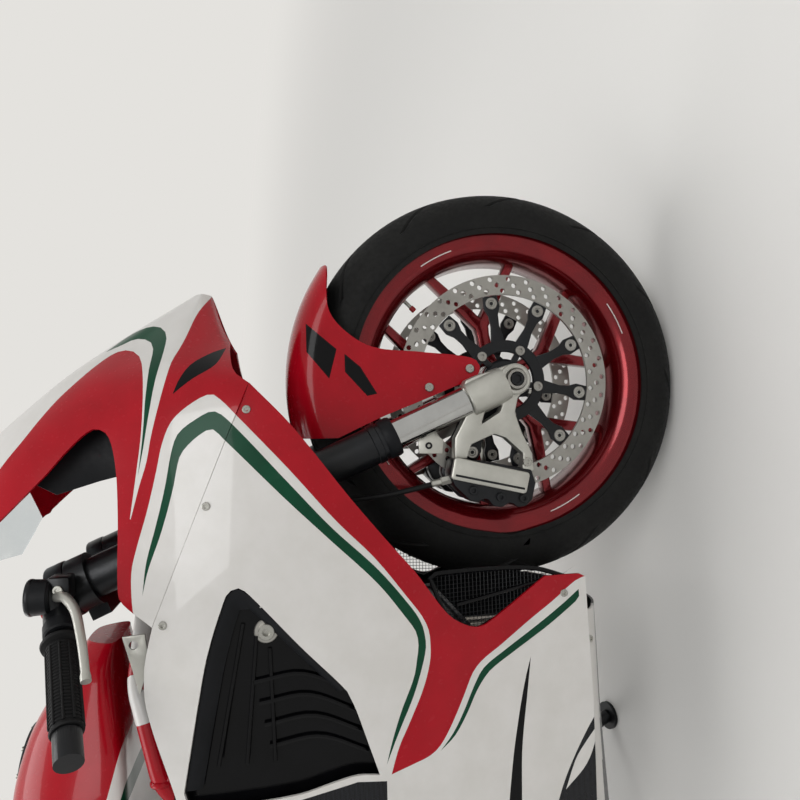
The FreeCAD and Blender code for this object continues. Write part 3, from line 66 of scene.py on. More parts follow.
# The eye that the photograph was taken from, for graphics measured in it.
EYE = Vector((-55.4, -1123.2, 634.8))
SHARP = math.radians(32)


def steer_point(forward: float, side: float, up: float) -> Vector:
    """A point of the steering frame in the bike frame."""
    return STEER_BASE + STEER_FORWARD * forward + ACROSS * side + STEER_UP * up


def placed(joints: list) -> Matrix:
    """The map from the upright bike (millimetres) to the leaned row frame (metres).

    Args:
        joints: The record's joints, whose wheel axes fix the lean.

    Returns:
        A 4 x 4 matrix.
    """
    spots = {joint["name"]: joint for joint in joints}
    front = Vector(spots["front_wheel_spin"]["pos_m"])
    rear = Vector(spots["rear_wheel_spin"]["pos_m"])
    side = Vector(spots["front_wheel_spin"]["axis"])

    def basis(along: Vector, across: Vector) -> Matrix:
        first = along.normalized()
        second = across.normalized()
        return Matrix((first, second, first.cross(second))).transposed()

    turn = basis(front - rear, side) @ basis(FRONT_AXLE - REAR_AXLE, ACROSS).transposed()
    scale = Matrix.Scale(0.001, 4)
    return Matrix.Translation(front) @ turn.to_4x4() @ scale @ Matrix.Translation(-FRONT_AXLE)


TO_ROW = placed(frame["joints"])


# Curves
def eased(knots: list, values: list, at: float):
    """A smooth curve through values at knots, in cubic pieces.

    Args:
        knots: Rising positions.
        values: Numbers or vectors at them.
        at: Where to read the curve.

    Returns:
        The value there.
    """
    last = len(knots) - 1
    low = min(max(bisect_right(knots, at) - 1, 0), last - 1)
    span = knots[low + 1] - knots[low]
    t = (at - knots[low]) / span

    def slope(index: int):
        before, after = max(index - 1, 0), min(index + 1, last)
        return (values[after] - values[before]) / (knots[after] - knots[before]) * span

    start, end = values[low], values[low + 1]
    return (
        start * (2 * t**3 - 3 * t**2 + 1)
        + slope(low) * (t**3 - 2 * t**2 + t)
        + end * (3 * t**2 - 2 * t**3)
        + slope(low + 1) * (t**3 - t**2)
    )


def smoothed(points: list, step: float = 9.0, closed: bool = False) -> list:
    """A line through points, smooth except at corners.

    Args:
        points: Tuples of coordinates; a trailing None marks a corner.
        step: Spacing of the result.
        closed: Whether the last point joins the first.

    Returns:
        Vectors along the line.
    """
    marks = [point[-1] is None for point in points]
    spots = [Vector(point[:-1] if mark else point) for point, mark in zip(points, marks)]
    if closed:
        spots.append(spots[0].copy())
        marks.append(marks[0])
    marks[0] = marks[-1] = True
    line = []
    start = 0
    for end in range(1, len(spots)):
        if not marks[end]:
            continue
        run = spots[start:end + 1]
        knots = [0.0]
        for before, after in zip(run, run[1:]):
            knots.append(knots[-1] + (after - before).length)
        count = max(1, round(knots[-1] / step)) if len(run) > 2 else 1
        line += [eased(knots, run, knots[-1] * index / count) for index in range(count)]
        start = end
    if not closed:
        line.append(spots[-1])
    return line


def filleted(points: list, bend: float, steps: int = 6) -> list:
    """Straight runs joined by tangent arcs.

    Args:
        points: Corner points.
        bend: Radius of the arcs.
        steps: Points in each arc.

    Returns:
        Vectors along the route.
    """
    spots = [Vector(point) for point in points]
    line = [spots[0]]
    for before, corner, after in zip(spots, spots[1:], spots[2:]):
        back, ahead = before - corner, after - corner
        half = (math.pi - back.angle(ahead)) / 2
        reach = min(bend * math.tan(half), 0.45 * min(back.length, ahead.length))
        first = corner + back.normalized() * reach
        last = corner + ahead.normalized() * reach
        for index in range(steps + 1):
            t = index / steps
            line.append(first * (1 - t) ** 2 + corner * 2 * t * (1 - t) + last * t**2)
    line.append(spots[-1])
    return line


def inside(loop: list, x: float, z: float) -> bool:
    """Whether a point lies in a closed loop of (x, z) vectors."""
    odd = False
    for start, end in zip(loop, loop[1:] + loop[:1]):
        if (start[1] > z) != (end[1] > z):
            if x < start[0] + (z - start[1]) / (end[1] - start[1]) * (end[0] - start[0]):
                odd = not odd
    return odd


# Finishes
def srgb(code: str) -> tuple:
    """A linear RGBA colour from an sRGB hex code such as "c21e2b"."""
    parts = [int(code[index:index + 2], 16) / 255 for index in (0, 2, 4)]
    linear = (c / 12.92 if c <= 0.04045 else ((c + 0.055) / 1.055) ** 2.4 for c in parts)
    return (*linear, 1.0)


def add(tree, kind: str, inputs: dict | None = None, **settings):
    """Adds a node to a tree.

    Args:
        tree: The node tree.
        kind: The node's type, without its ShaderNode prefix.
        inputs: Values or output sockets by input name or number.
        settings: Attributes of the node.

    Returns:
        The node.
    """
    node = tree.nodes.new("ShaderNode" + kind)
    for name, value in settings.items():
        setattr(node, name, value)
    for name, value in (inputs or {}).items():
        socket = node.inputs[name]
        if isinstance(value, bpy.types.NodeSocket):
            tree.links.new(value, socket)
        else:
            socket.default_value = value
    return node


class Relief(Enum):
    """The small-scale shape that a surface's making leaves."""

    PEEL = "NOISE"
    CAST = "CELLS"
    HIDE = "HIDE"
    BRUSH = "BRUSH"
    RIBS = "RIBS"


@dataclass(frozen=True)
class Finish:
    """A real surface.

    Attributes:
        name: What the real material is.
        colour: Its sRGB colour.
        shade: The colour that it clouds towards.
        metallic: 1 for bare metal.
        roughness: Its gloss, 0 for a mirror.
        wear: How far the roughness wanders.
        relief: The kind of fine shape.
        grain: Size of that shape in millimetres.
        depth: Its depth in millimetres.
        coat: Share of clear lacquer on top.
        shine: Specular level of the surface below any lacquer.
    """

    name: str
    colour: str
    shade: str
    metallic: float = 0.0
    roughness: float = 0.4
    wear: float = 0.06
    relief: Relief = Relief.PEEL
    grain: float = 2.0
    depth: float = 0.02
    coat: float = 0.0
    shine: float = 0.5

    def texture(self, tree, place):
        """The height of the relief, from Object coordinates in metres."""
        density = 1000.0 / self.grain
        if self.relief is Relief.BRUSH:
            stretched = add(tree, "Mapping", {"Vector": place, "Scale": (1.0, 14.0, 1.0)})
            return add(tree, "TexNoise", {"Vector": stretched.outputs[0], "Scale": density,
                                          "Detail": 3.0}).outputs[0]
        if self.relief is Relief.RIBS:
            wave = add(tree, "TexWave", {"Vector": place, "Scale": density / 6.28,
                                         "Distortion": 0.4, "Detail": 1.0},
                       bands_direction="Z")
            return wave.outputs["Fac"]
        if self.relief in (Relief.CAST, Relief.HIDE):
            feature = "SMOOTH_F1" if self.relief is Relief.CAST else "DISTANCE_TO_EDGE"
            cells = add(tree, "TexVoronoi", {"Vector": place, "Scale": density, "Randomness": 1.0},
                        feature=feature)
            return cells.outputs["Distance"]
        return add(tree, "TexNoise", {"Vector": place, "Scale": density, "Detail": 2.0}).outputs[0]

    def build(self):
        """The Blender material."""
        material = bpy.data.materials.new(self.name)
        material.use_nodes = True
        tree = material.node_tree
        shader = tree.nodes["Principled BSDF"]
        place = add(tree, "TexCoord").outputs["Object"]
        cloud = add(tree, "TexNoise", {"Vector": place, "Scale": 18.0, "Detail": 4.0,
                                       "Roughness": 0.6})
        ramp = add(tree, "ValToRGB", {"Fac": cloud.outputs[0]})
        ramp.color_ramp.elements[0].position = 0.35
        ramp.color_ramp.elements[0].color = srgb(self.shade)
        ramp.color_ramp.elements[1].position = 0.65
        ramp.color_ramp.elements[1].color = srgb(self.colour)
        fine = add(tree, "TexNoise", {"Vector": place, "Scale": 160.0, "Detail": 5.0})
        gloss = add(tree, "MapRange", {
            "Value": fine.outputs[0], "From Min": 0.3, "From Max": 0.7,
            "To Min": max(self.roughness - self.wear, 0.02), "To Max": self.roughness + self.wear,
        })
        bump = add(tree, "Bump", {"Height": self.texture(tree, place), "Strength": 0.6,
                                  "Distance": self.depth / 1000})
        tree.links.new(ramp.outputs[0], shader.inputs["Base Color"])
        tree.links.new(gloss.outputs[0], shader.inputs["Roughness"])
        tree.links.new(bump.outputs[0], shader.inputs["Normal"])
        shader.inputs["Metallic"].default_value = self.metallic
        shader.inputs["Specular IOR Level"].default_value = self.shine
        if self.coat:
            peel = add(tree, "TexNoise", {"Vector": place, "Scale": 260.0, "Detail": 1.0})
            skin = add(tree, "Bump", {"Height": peel.outputs[0], "Strength": 0.25,
                                      "Distance": 0.00002})
            shader.inputs["Coat Weight"].default_value = self.coat
            shader.inputs["Coat Roughness"].default_value = 0.04
            tree.links.new(skin.outputs[0], shader.inputs["Coat Normal"])
        self.dress(tree, shader, place)
        return material

    def dress(self, tree, shader, place) -> None:
        """Room for what only one kind of finish has."""


@dataclass(frozen=True)
class Clear(Finish):
    """A see-through moulding, such as a screen or a lens."""

    passing: float = 1.0

    def dress(self, tree, shader, place) -> None:
        """Lets light through and bends it as acrylic does."""
        shader.inputs["Transmission Weight"].default_value = self.passing
        shader.inputs["IOR"].default_value = 1.49


@dataclass(frozen=True)
class Heated(Finish):
    """Bare exhaust steel, straw and blue where it ran hot."""

    def dress(self, tree, shader, place) -> None:
        """Lays heat tints over the steel's own colour."""
        band = add(tree, "TexNoise", {"Vector": place, "Scale": 3.0, "Detail": 1.0})
        tint = add(tree, "ValToRGB", {"Fac": band.outputs[0]})
        tint.color_ramp.elements[0].position = 0.3
        tint.color_ramp.elements[0].color = srgb("777a86")
        tint.color_ramp.elements[1].position = 0.7
        tint.color_ramp.elements[1].color = srgb("a2937f")
        middle = tint.color_ramp.elements.new(0.5)
        middle.color = srgb(self.colour)
        tree.links.new(tint.outputs[0], shader.inputs["Base Color"])


@dataclass(frozen=True)
class Woven(Finish):
    """Carbon cloth under lacquer: small squares of light and dark tows."""

    def dress(self, tree, shader, place) -> None:
        """Lays a slanted chequer of tows over the colour."""
        tilt = add(tree, "Mapping", {"Vector": place, "Rotation": (0.35, 0.0, 0.78)})
        tows = add(tree, "TexChecker", {"Vector": tilt.outputs[0], "Scale": 1000.0 / self.grain,
                                        "Color1": srgb(self.colour), "Color2": srgb(self.shade)})
        tree.links.new(tows.outputs[0], shader.inputs["Base Color"])


class Palette:
    """Every finish on the bike, built once each."""

    # White acrylic paint: reads as porcelain, with soft lamp streaks.
    WHITE = Finish("acrylic_paint_white", "d3d0cc", "cdcac5", roughness=0.3, wear=0.02, grain=3.0,
                   depth=0.002, coat=0.4, shine=0.15)
    # Red pigment under lacquer: deep and wet where it turns from the light.
    RED = Finish("lacquered_paint_red", "a2081a", "980717", roughness=0.26, wear=0.02, grain=3.0,
                 depth=0.002, coat=0.25, shine=0.1)
    # Green stripe film under the same lacquer.
    GREEN = Finish("lacquered_stripe_green", "05402a", "043824", roughness=0.3, wear=0.02,
                   grain=3.0, depth=0.002, coat=0.12, shine=0.1)
    # Candy coat over cast magnesium: metal glows through the red.
    CANDY = Finish("candy_coated_magnesium", "760812", "680610", metallic=0.65, roughness=0.22,
                   wear=0.03, grain=3.0, depth=0.002, coat=0.25)
    # Gloss black injection moulding: shows the room as soft bright shapes.
    GLOSS_BLACK = Finish("gloss_black_moulding", "060607", "09090b", roughness=0.14, grain=3.0,
                         depth=0.01, shine=0.14)
    # Textured black nylon: dull, with a fine pebble.
    NYLON = Finish("black_nylon", "0f1012", "131417", roughness=0.5, relief=Relief.CAST, grain=0.8,
                   depth=0.06, shine=0.14)
    # Carbon cloth: a tight chequer that moves with the light.
    CARBON = Woven("carbon_cloth", "08090b", "191a1f", roughness=0.3, grain=2.2, depth=0.02,
                   coat=0.3, shine=0.1)
    # Anodised aluminium, black: satin sheen on the fork and carriers.
    ANODISED = Finish("black_anodised_aluminium", "0f1012", "14161a", metallic=0.5, roughness=0.36,
                      relief=Relief.BRUSH, grain=0.9, depth=0.01)
    # Sand-cast aluminium, lightly blasted: pale, grainy silver.
    CAST = Finish("blasted_cast_aluminium", "b8b7b0", "a9a8a1", metallic=0.85, roughness=0.42,
                  relief=Relief.CAST, grain=0.7, depth=0.04)
    # Hard chrome on the stanchions: near mirror.
    CHROME = Finish("hard_chrome", "b2b2b0", "a6a6a4", metallic=1.0, roughness=0.1, wear=0.03,
                    relief=Relief.BRUSH, grain=0.5, depth=0.003)
    # Ground brake steel: fine rings of grinding marks.
    STEEL = Finish("ground_steel", "9a9893", "8b8984", metallic=1.0, roughness=0.34,
                   relief=Relief.BRUSH, grain=0.5, depth=0.02)
    # Zinc-plated screws: small bright points.
    ZINC = Finish("zinc_plated_steel", "a5a49e", "8f8e88", metallic=1.0, roughness=0.28, grain=0.6,
                  depth=0.02)
    # Tyre rubber: near black, dull, slightly grey with dust.
    RUBBER = Finish("tyre_rubber", "101010", "161615", roughness=0.68, wear=0.1, grain=1.4,
                    depth=0.08, shine=0.16)
    # Soft grip rubber.
    GRIP = Finish("soft_grip_rubber", "0e0e0f", "141414", roughness=0.58, relief=Relief.CAST,
                  grain=0.9, depth=0.05, shine=0.16)
    # Stitched seat cover: grained synthetic hide.
    HIDE = Finish("synthetic_hide", "101012", "161618", roughness=0.58, relief=Relief.HIDE,
                  grain=1.7, depth=0.12, shine=0.2)
    # Engine castings in dark powder coat.
    POWDER = Finish("powder_coated_casting", "1b1c1f", "232428", metallic=0.3, roughness=0.5,
                    relief=Relief.CAST, grain=0.9, depth=0.06)
    # Radiator core: close rows of fins.
    FINS = Finish("radiator_fins", "2a2b2c", "1b1c1d", metallic=0.7, roughness=0.45,
                  relief=Relief.RIBS, grain=2.0, depth=0.6)
    # Exhaust steel: grey, with straw and blue where it ran hot.
    EXHAUST = Heated("exhaust_steel", "979490", "8f8a82", metallic=1.0, roughness=0.3,
                     relief=Relief.BRUSH, grain=0.8, depth=0.02)
    # Clear mouldings: the screen, lamp lenses and red lenses.
    SCREEN = Clear("clear_acrylic", "e9eef0", "e3e9ec", roughness=0.05, wear=0.02, grain=60.0,
                   depth=0.01)
    LENS = Clear("clear_lamp_lens", "f2f4f5", "eceff1", roughness=0.04, wear=0.02, grain=8.0,
                 depth=0.05)
    RED_LENS = Clear("red_lamp_lens", "b00d14", "a00a10", roughness=0.12, grain=3.0, depth=0.1,
                     passing=0.5)
    # Blank number plate: pale coated sheet.
    PLATE = Finish("coated_plate", "d8d8d2", "d0d0ca", roughness=0.4, grain=2.5, depth=0.02)
    # Red fluid-cap and switch plastics.
    SIGNAL = Finish("red_moulding", "b3141c", "9f1018", roughness=0.35, grain=2.0, depth=0.03)
    built: dict = {}

    @classmethod
    def material(cls, finish: Finish):
        """The material of a finish, made on first use."""
        if finish.name not in cls.built:
            cls.built[finish.name] = finish.build()
        return cls.built[finish.name]


# Shapes
class Sculpt:
    """A finished piece being built in the upright bike frame.

    Args:
        name: The piece's name.
    """

    def __init__(self, name: str) -> None:
        self.name = name
        self.mesh = bmesh.new()
        self.finishes: list = []

    def slot(self, finish: Finish) -> int:
        """The number of a finish on this piece."""
        if finish not in self.finishes:
            self.finishes.append(finish)
        return self.finishes.index(finish)

    def absorb(self, part, finish: Finish | None = None, matrix: Matrix | None = None,
               bevel: float = 0.0) -> None:
        """Joins a bmesh into the piece.

        Args:
            part: The bmesh, which is used up.
            finish: Its finish, unless its faces have theirs.
            matrix: Where it goes.
            bevel: Width of rounding on its sharp edges.
        """
        if bevel:
            part.normal_update()
            edges = [e for e in part.edges
                     if len(e.link_faces) == 2 and e.calc_face_angle(0) > SHARP]
            bmesh.ops.bevel(part, geom=edges, offset=bevel, offset_type="OFFSET", segments=2,
                            profile=0.5, affect="EDGES", material=-1, clamp_overlap=True)
        if matrix:
            bmesh.ops.transform(part, matrix=matrix, verts=part.verts)
        if finish:
            index = self.slot(finish)
            for face in part.faces:
                face.material_index = index
            bmesh.ops.recalc_face_normals(part, faces=part.faces)
        store = bpy.data.meshes.new("store")
        part.to_mesh(store)
        part.free()
        self.mesh.from_mesh(store)
        bpy.data.meshes.remove(store)

    def lathe(self, finish: Finish, profile: list, centre: Vector, axis: Vector, steps: int = 40,
              closed: bool = False) -> "Sculpt":
        """A turned shape from (radius, height) pairs along an axis."""
        part = bmesh.new()
        verts = [part.verts.new((radius, 0, height)) for radius, height in profile]
        pairs = list(zip(verts, verts[1:])) + ([(verts[-1], verts[0])] if closed else [])
        edges = [part.edges.new(pair) for pair in pairs]
        bmesh.ops.spin(part, geom=verts + edges, cent=(0, 0, 0), axis=(0, 0, 1), angle=math.tau,
                       steps=steps, use_merge=True, use_duplicate=False)
        bmesh.ops.remove_doubles(part, verts=part.verts, dist=0.01)
        turn = axis.to_track_quat("Z", "Y").to_matrix().to_4x4()
        self.absorb(part, finish, Matrix.Translation(centre) @ turn)
        return self

    def rod(self, finish: Finish, start: Vector, end: Vector, radius: float, edge: float = 1.0,
            steps: int = 24) -> "Sculpt":
        """A round bar with chamfered ends."""
        start, end = Vector(start), Vector(end)
        length = (end - start).length
        profile = [(0, 0), (radius - edge, 0), (radius, edge), (radius, length - edge),
                   (radius - edge, length), (0, length)]
        return self.lathe(finish, profile, start, end - start, steps)

    def ring(self, finish: Finish, centre: Vector, outer: float, inner: float, half: float,
             edge: float = 1.0, steps: int = 56, axis: Vector = ACROSS) -> "Sculpt":
        """A flat ring with chamfered edges, half its thickness to each side of its centre."""
        profile = [(inner, edge - half), (inner + edge, -half), (outer - edge, -half),
                   (outer, edge - half), (outer, half - edge), (outer - edge, half),
                   (inner + edge, half), (inner, half - edge)]
        return self.lathe(finish, profile, centre, axis, steps, closed=True)

    def box(self, finish: Finish, low: tuple, high: tuple, bevel: float = 1.5,
            matrix: Matrix | None = None) -> "Sculpt":
        """A box between corners with rounded edges."""
        part = bmesh.new()
        low, high = Vector(low), Vector(high)
        bmesh.ops.create_cube(part, size=1)
        bmesh.ops.scale(part, vec=high - low, verts=part.verts)
        bmesh.ops.translate(part, vec=(low + high) / 2, verts=part.verts)
        self.absorb(part, finish, matrix, bevel)
        return self

    def plate(self, finish: Finish, outline: list, low: float, high: float, bevel: float = 1.5,
              holes: tuple = (), matrix: Matrix | None = None) -> "Sculpt":
        """A side outline (x, z), with holes, pushed across the bike from y = low to y = high."""
        part = bmesh.new()
        for loop in (outline, *holes):
            verts = [part.verts.new((point[0], low, point[1])) for point in loop]
            for pair in zip(verts, verts[1:] + verts[:1]):
                part.edges.new(pair)
        bmesh.ops.triangle_fill(part, use_beauty=True, use_dissolve=False, edges=part.edges)
        side = bmesh.ops.extrude_face_region(part, geom=part.faces)
        moved = [item for item in side["geom"] if isinstance(item, bmesh.types.BMVert)]
        bmesh.ops.translate(part, vec=(0, high - low, 0), verts=moved)
        bmesh.ops.recalc_face_normals(part, faces=part.faces)
        self.absorb(part, finish, matrix, bevel)
        return self

    def surface(self, finish: Finish, place, across: int, along: int, wrap: bool = False,
                caps: bool = False) -> "Sculpt":
        """A grid moved onto place(u, v), joined at its seam and closed at its ends if asked."""
        part = bmesh.new()
        bmesh.ops.create_grid(part, x_segments=across, y_segments=along, size=0.5)
        for vert in part.verts:
            vert.co = place(vert.co.x + 0.5, vert.co.y + 0.5)
        if wrap:
            bmesh.ops.remove_doubles(part, verts=part.verts, dist=0.01)
        if caps:
            bmesh.ops.holes_fill(part, edges=part.edges, sides=0)
        self.absorb(part, finish)
        return self

    def tube(self, finish: Finish, points: list, radius, sides: int = 14,
             closed: bool = False) -> "Sculpt":
        """A round section swept along points; radius is a number or a function of the way along."""
        spots = [Vector(point) for point in points]
        last = len(spots) - 1
        frames = []
        normal = None
        for index, spot in enumerate(spots):
            before = spots[(index - 1) % last] if closed else spots[max(index - 1, 0)]
            after = spots[(index + 1) % last] if closed else spots[min(index + 1, last)]
            along = (after - before).normalized()
            if normal is None:
                normal = along.orthogonal().normalized()
            normal = (normal - along * normal.dot(along)).normalized()
            frames.append((spot, normal, along.cross(normal)))

        def place(u: float, v: float) -> Vector:
            spot, first, second = frames[round(v * last)]
            wide = radius(v) if callable(radius) else radius
            turn = u * math.tau
            return spot + (first * math.cos(turn) + second * math.sin(turn)) * wide

        return self.surface(finish, place, sides, last, wrap=True, caps=not closed)

    def loft(self, finish: Finish, sections: list, across: int, along: int) -> "Sculpt":
        """A smooth closed body through sections, each a closed list of as many points."""
        knots = [0.0]
        for before, after in zip(sections, sections[1:]):
            knots.append(knots[-1] + (Vector(after[0]) - Vector(before[0])).length)
        rings = []
        for section in sections:
            spots = [Vector(point) for point in section]
            count = len(spots)
            rings.append([
                eased(list(range(-1, count + 2)), [spots[i % count] for i in range(-1, count + 2)],
                      index / across * count) for index in range(across)
            ])

        def place(u: float, v: float) -> Vector:
            column = round(u * across) % across
            return eased(knots, [ring[column] for ring in rings], v * knots[-1])

        return self.surface(finish, place, across, along, wrap=True, caps=True)

    def bolt(self, centre: Vector, axis: Vector, radius: float, height: float,
             finish: Finish = Palette.ZINC) -> "Sculpt":
        """A cap screw with a socket in its head."""
        socket = radius * 0.5
        profile = [(0, height * 0.3), (socket, height * 0.3), (socket, height),
                   (radius - 0.6, height), (radius, height - 0.6), (radius, 0), (0, 0)]
        return self.lathe(finish, profile, Vector(centre), axis, 20)

    def bolt_ring(self, centre: Vector, out: Vector, ring: float, count: int, radius: float,
                  height: float, finish: Finish = Palette.ZINC, start: float = 0.0) -> None:
        """Equal cap screws around a crosswise axle.

        Args:
            centre: Middle of the ring, on the face that the screws sit on.
            out: The way their heads point.
            ring: Radius of the ring.
            count: Number of screws.
            radius: Radius of a head.
            height: Height of a head.
            finish: The screws' finish.
            start: Angle of the first screw, in radians.
        """
        for index in range(count):
            angle = start + math.tau * index / count
            spot = centre + Vector((math.cos(angle) * ring, 0, math.sin(angle) * ring))
            self.bolt(spot, out, radius, height, finish)

    def emit(self, body: str, replaces: tuple = (), slot: str | None = None):
        """Places the piece in the row frame and hands it to the frame.

        Args:
            body: The CAD body that it rides on.
            replaces: CAD nodes that it stands for.
            slot: The record's material slot; not used.

        Returns:
            The object.
        """
        bmesh.ops.transform(self.mesh, matrix=TO_ROW, verts=self.mesh.verts)
        data = bpy.data.meshes.new(self.name)
        self.mesh.to_mesh(data)
        self.mesh.free()
        data.shade_smooth()
        data.set_sharp_from_angle(angle=SHARP)
        piece = bpy.data.objects.new(self.name, data)
        bpy.context.scene.collection.objects.link(piece)
        for finish in self.finishes:
            data.materials.append(Palette.material(finish))
        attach(piece, body)
        if replaces:
            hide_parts(*replaces)
        log.info("%s: %d faces on %s", self.name, len(data.polygons), body)
        return piece


def mirrored(point: tuple, side: int) -> Vector:
    """A point given for the right-hand side, moved to the side wanted."""
    return Vector((point[0], -side * point[1], point[2]))


def span(side: int, near: float, far: float) -> tuple:
    """Lower and upper end across the bike of a form between two distances on one side."""
    return (near, far) if side > 0 else (-far, -near)


def puffed(sculpt: "Sculpt", cap: float, voxel: float = 0.006) -> None:
    """Args:
        sculpt: The pad, one closed form so far.
        cap: How far a point may move, in millimetres.
        voxel: Size of the even skin's squares, in metres.
    """
    scene = bpy.context.scene

    def settled(pad) -> bpy.types.Mesh:
        graph = bpy.context.evaluated_depsgraph_get()
        return bpy.data.meshes.new_from_object(pad.evaluated_get(graph))

    mesh = bpy.data.meshes.new("pad")
    sculpt.mesh.to_mesh(mesh)
    mesh.transform(TO_ROW)
    pad = bpy.data.objects.new("pad", mesh)
    scene.collection.objects.link(pad)
    even = pad.modifiers.new("even_skin", "REMESH")
    even.mode, even.voxel_size = "VOXEL", voxel
    pad.data = settled(pad)
    pad.modifiers.clear()
    before = [vert.co.copy() for vert in pad.data.vertices]
    resting = [vert.normal.z < -0.4 for vert in pad.data.vertices]
    cloth = pad.modifiers.new("pressure", "CLOTH")
    cloth.settings.quality = 5
    cloth.settings.use_pressure = True
    cloth.settings.uniform_pressure_force = 4.0
    cloth.settings.effector_weights.gravity = 0.0
    for frame_number in range(1, 21):
        scene.frame_set(frame_number)
    swollen = settled(pad)
    moved = 0.0
    for vert, start, rests in zip(swollen.vertices, before, resting):
        shift = vert.co - start
        far = shift.length * 1000
        moved = max(moved, far)
        vert.co = start if rests else start + shift * min(1.0, cap / max(far, 1e-6))
    log.info("pad swelled by up to %.1f mm, capped at %.1f mm", moved, cap)
    pad.modifiers.clear()
    pad.data = swollen
    finer = pad.modifiers.new("one_subdivision", "SUBSURF")
    finer.levels = finer.render_levels = 1
    final = settled(pad)
    final.transform(TO_ROW.inverted())
    shade = sculpt.mesh.faces[:][0].material_index if sculpt.mesh.faces else 0
    sculpt.mesh.clear()
    sculpt.mesh.from_mesh(final)
    for face in sculpt.mesh.faces:
        face.material_index = shade
        face.smooth = True
    bpy.data.objects.remove(pad)
    scene.frame_set(1)


RIGHT, LEFT = -1, 1
SIDES = (("right", RIGHT), ("left", LEFT))


# Bodywork surfaces: stations along the bike, then half widths at these heights.
HULL_HEIGHTS = (180, 300, 400, 500, 600, 690, 760, 840)
HULL = {
    -680: (140, 164, 180, 190, 194, 192, 184, 167),
    -480: (142, 168, 186, 200, 206, 206, 196, 171),
    -300: (138, 164, 186, 204, 214, 214, 204, 175),
    -100: (134, 156, 178, 198, 206, 202, 188, 159),
    0: (128, 145, 160, 180, 186, 178, 160, 124),
    60: (120, 130, 140, 150, 150, 140, 118, 92),
}
# Nose stations: (half width, height) from the lower edge up to the centre.
NOSE = {
    -300: [(214, 640), (214, 690), (204, 760), (176, 838), (129, 1030), (0, 1098)],
    -200: [(209.1, 640), (208, 690), (196, 760), (168, 838), (125, 1013), (0, 1084)],
    -100: [(204.2, 640), (202, 690), (188, 760), (160, 838), (113, 988), (0, 1059)],
    0: [(183, 640), (178, 690), (160, 760), (128, 830), (79, 918), (0, 960)],
    60: [(86, 700), (100, 716), (106, 762), (70, 820), (46, 858), (0, 880)],
    138: [(6, 731), (14, 735), (24, 743), (20, 748), (12, 754), (0, 757)],
}
PANEL_WALL = 3.4


def hull_width(x: float, z: float) -> float:
    """Half width of the side hull."""
    stations = sorted(HULL)
    widths = [eased(HULL_HEIGHTS, HULL[station], z) for station in stations]
    return eased(stations, widths, x)


def on_hull(x: float, z: float, side: int, inset: float) -> Vector:
    """A point of one side hull, moved in towards the bike's middle."""
    return Vector((x, side * (hull_width(x, z) - inset), z))


def nose_point(x: float, share: float) -> Vector:
    """A point of the nose: share 0 is the right lower edge, 0.5 the top and 1 the left."""
    stations = sorted(NOSE)
    spots = []
    for station in stations:
        half = NOSE[station]
        line = [Vector((0, -side, up)) for side, up in half] + [Vector((0, side, up)) for side,
                                                                up in half[-2::-1]]
        spots.append(eased(list(range(len(line))), line, share * (len(line) - 1)))
    point = eased(stations, spots, x)
    return Vector((x, point.y, point.z))


def side_of(point: Vector, depth: float | None) -> tuple:
    """Where a point shows from the side, square on or as the eye sees it on y = depth."""
    if depth is None:
        return point.x, point.z
    side = Vector((point.x, -abs(point.y), point.z)) - EYE
    reach = (depth - EYE.y) / side.y
    return EYE.x + side.x * reach, EYE.z + side.z * reach


def carve(part, loop: list, depth: float | None = None) -> None:
    """Cuts edges into a right-hand panel along a closed loop seen from the side.

    Args:
        part: The panel's bmesh.
        loop: (x, z) vectors.
        depth: The plane that the loop was measured on as the eye sees it, or None for square on.
    """
    spots: dict = {}

    def seen(vert) -> tuple:
        if vert not in spots:
            spots[vert] = side_of(vert.co, depth)
        return spots[vert]

    for start, end in zip(loop, loop[1:] + loop[:1]):
        if (end - start).length < 0.01:
            continue
        low_x, high_x = sorted((start[0], end[0]))
        low_z, high_z = sorted((start[1], end[1]))
        near = []
        for face in part.faces:
            flat = [seen(vert) for vert in face.verts]
            xs, zs = [p[0] for p in flat], [p[1] for p in flat]
            if (max(xs) > low_x - 0.5 and min(xs) < high_x + 0.5
                    and max(zs) > low_z - 0.5 and min(zs) < high_z + 0.5):
                near.append(face)
        plane = depth if depth is not None else 0.0
        first, second = Vector((start[0], plane, start[1])), Vector((end[0], plane, end[1]))
        if depth is None:
            normal = (second - first).cross(ACROSS)
        else:
            normal = (first - EYE).cross(second - EYE)
        geometry = near + list({e for f in near for e in f.edges})
        geometry += list({v for f in near for v in f.verts})
        bmesh.ops.bisect_plane(part, geom=geometry, dist=0.02, plane_co=first,
                               plane_no=normal.normalized())


@dataclass
class Mark:
    """A colour area of the livery.

    Attributes:
        finish: Its finish.
        loop: Its closed outline (x, z).
        depth: The plane that it was measured on, or None for square on.
    """

    finish: Finish
    loop: list
    depth: float | None = None


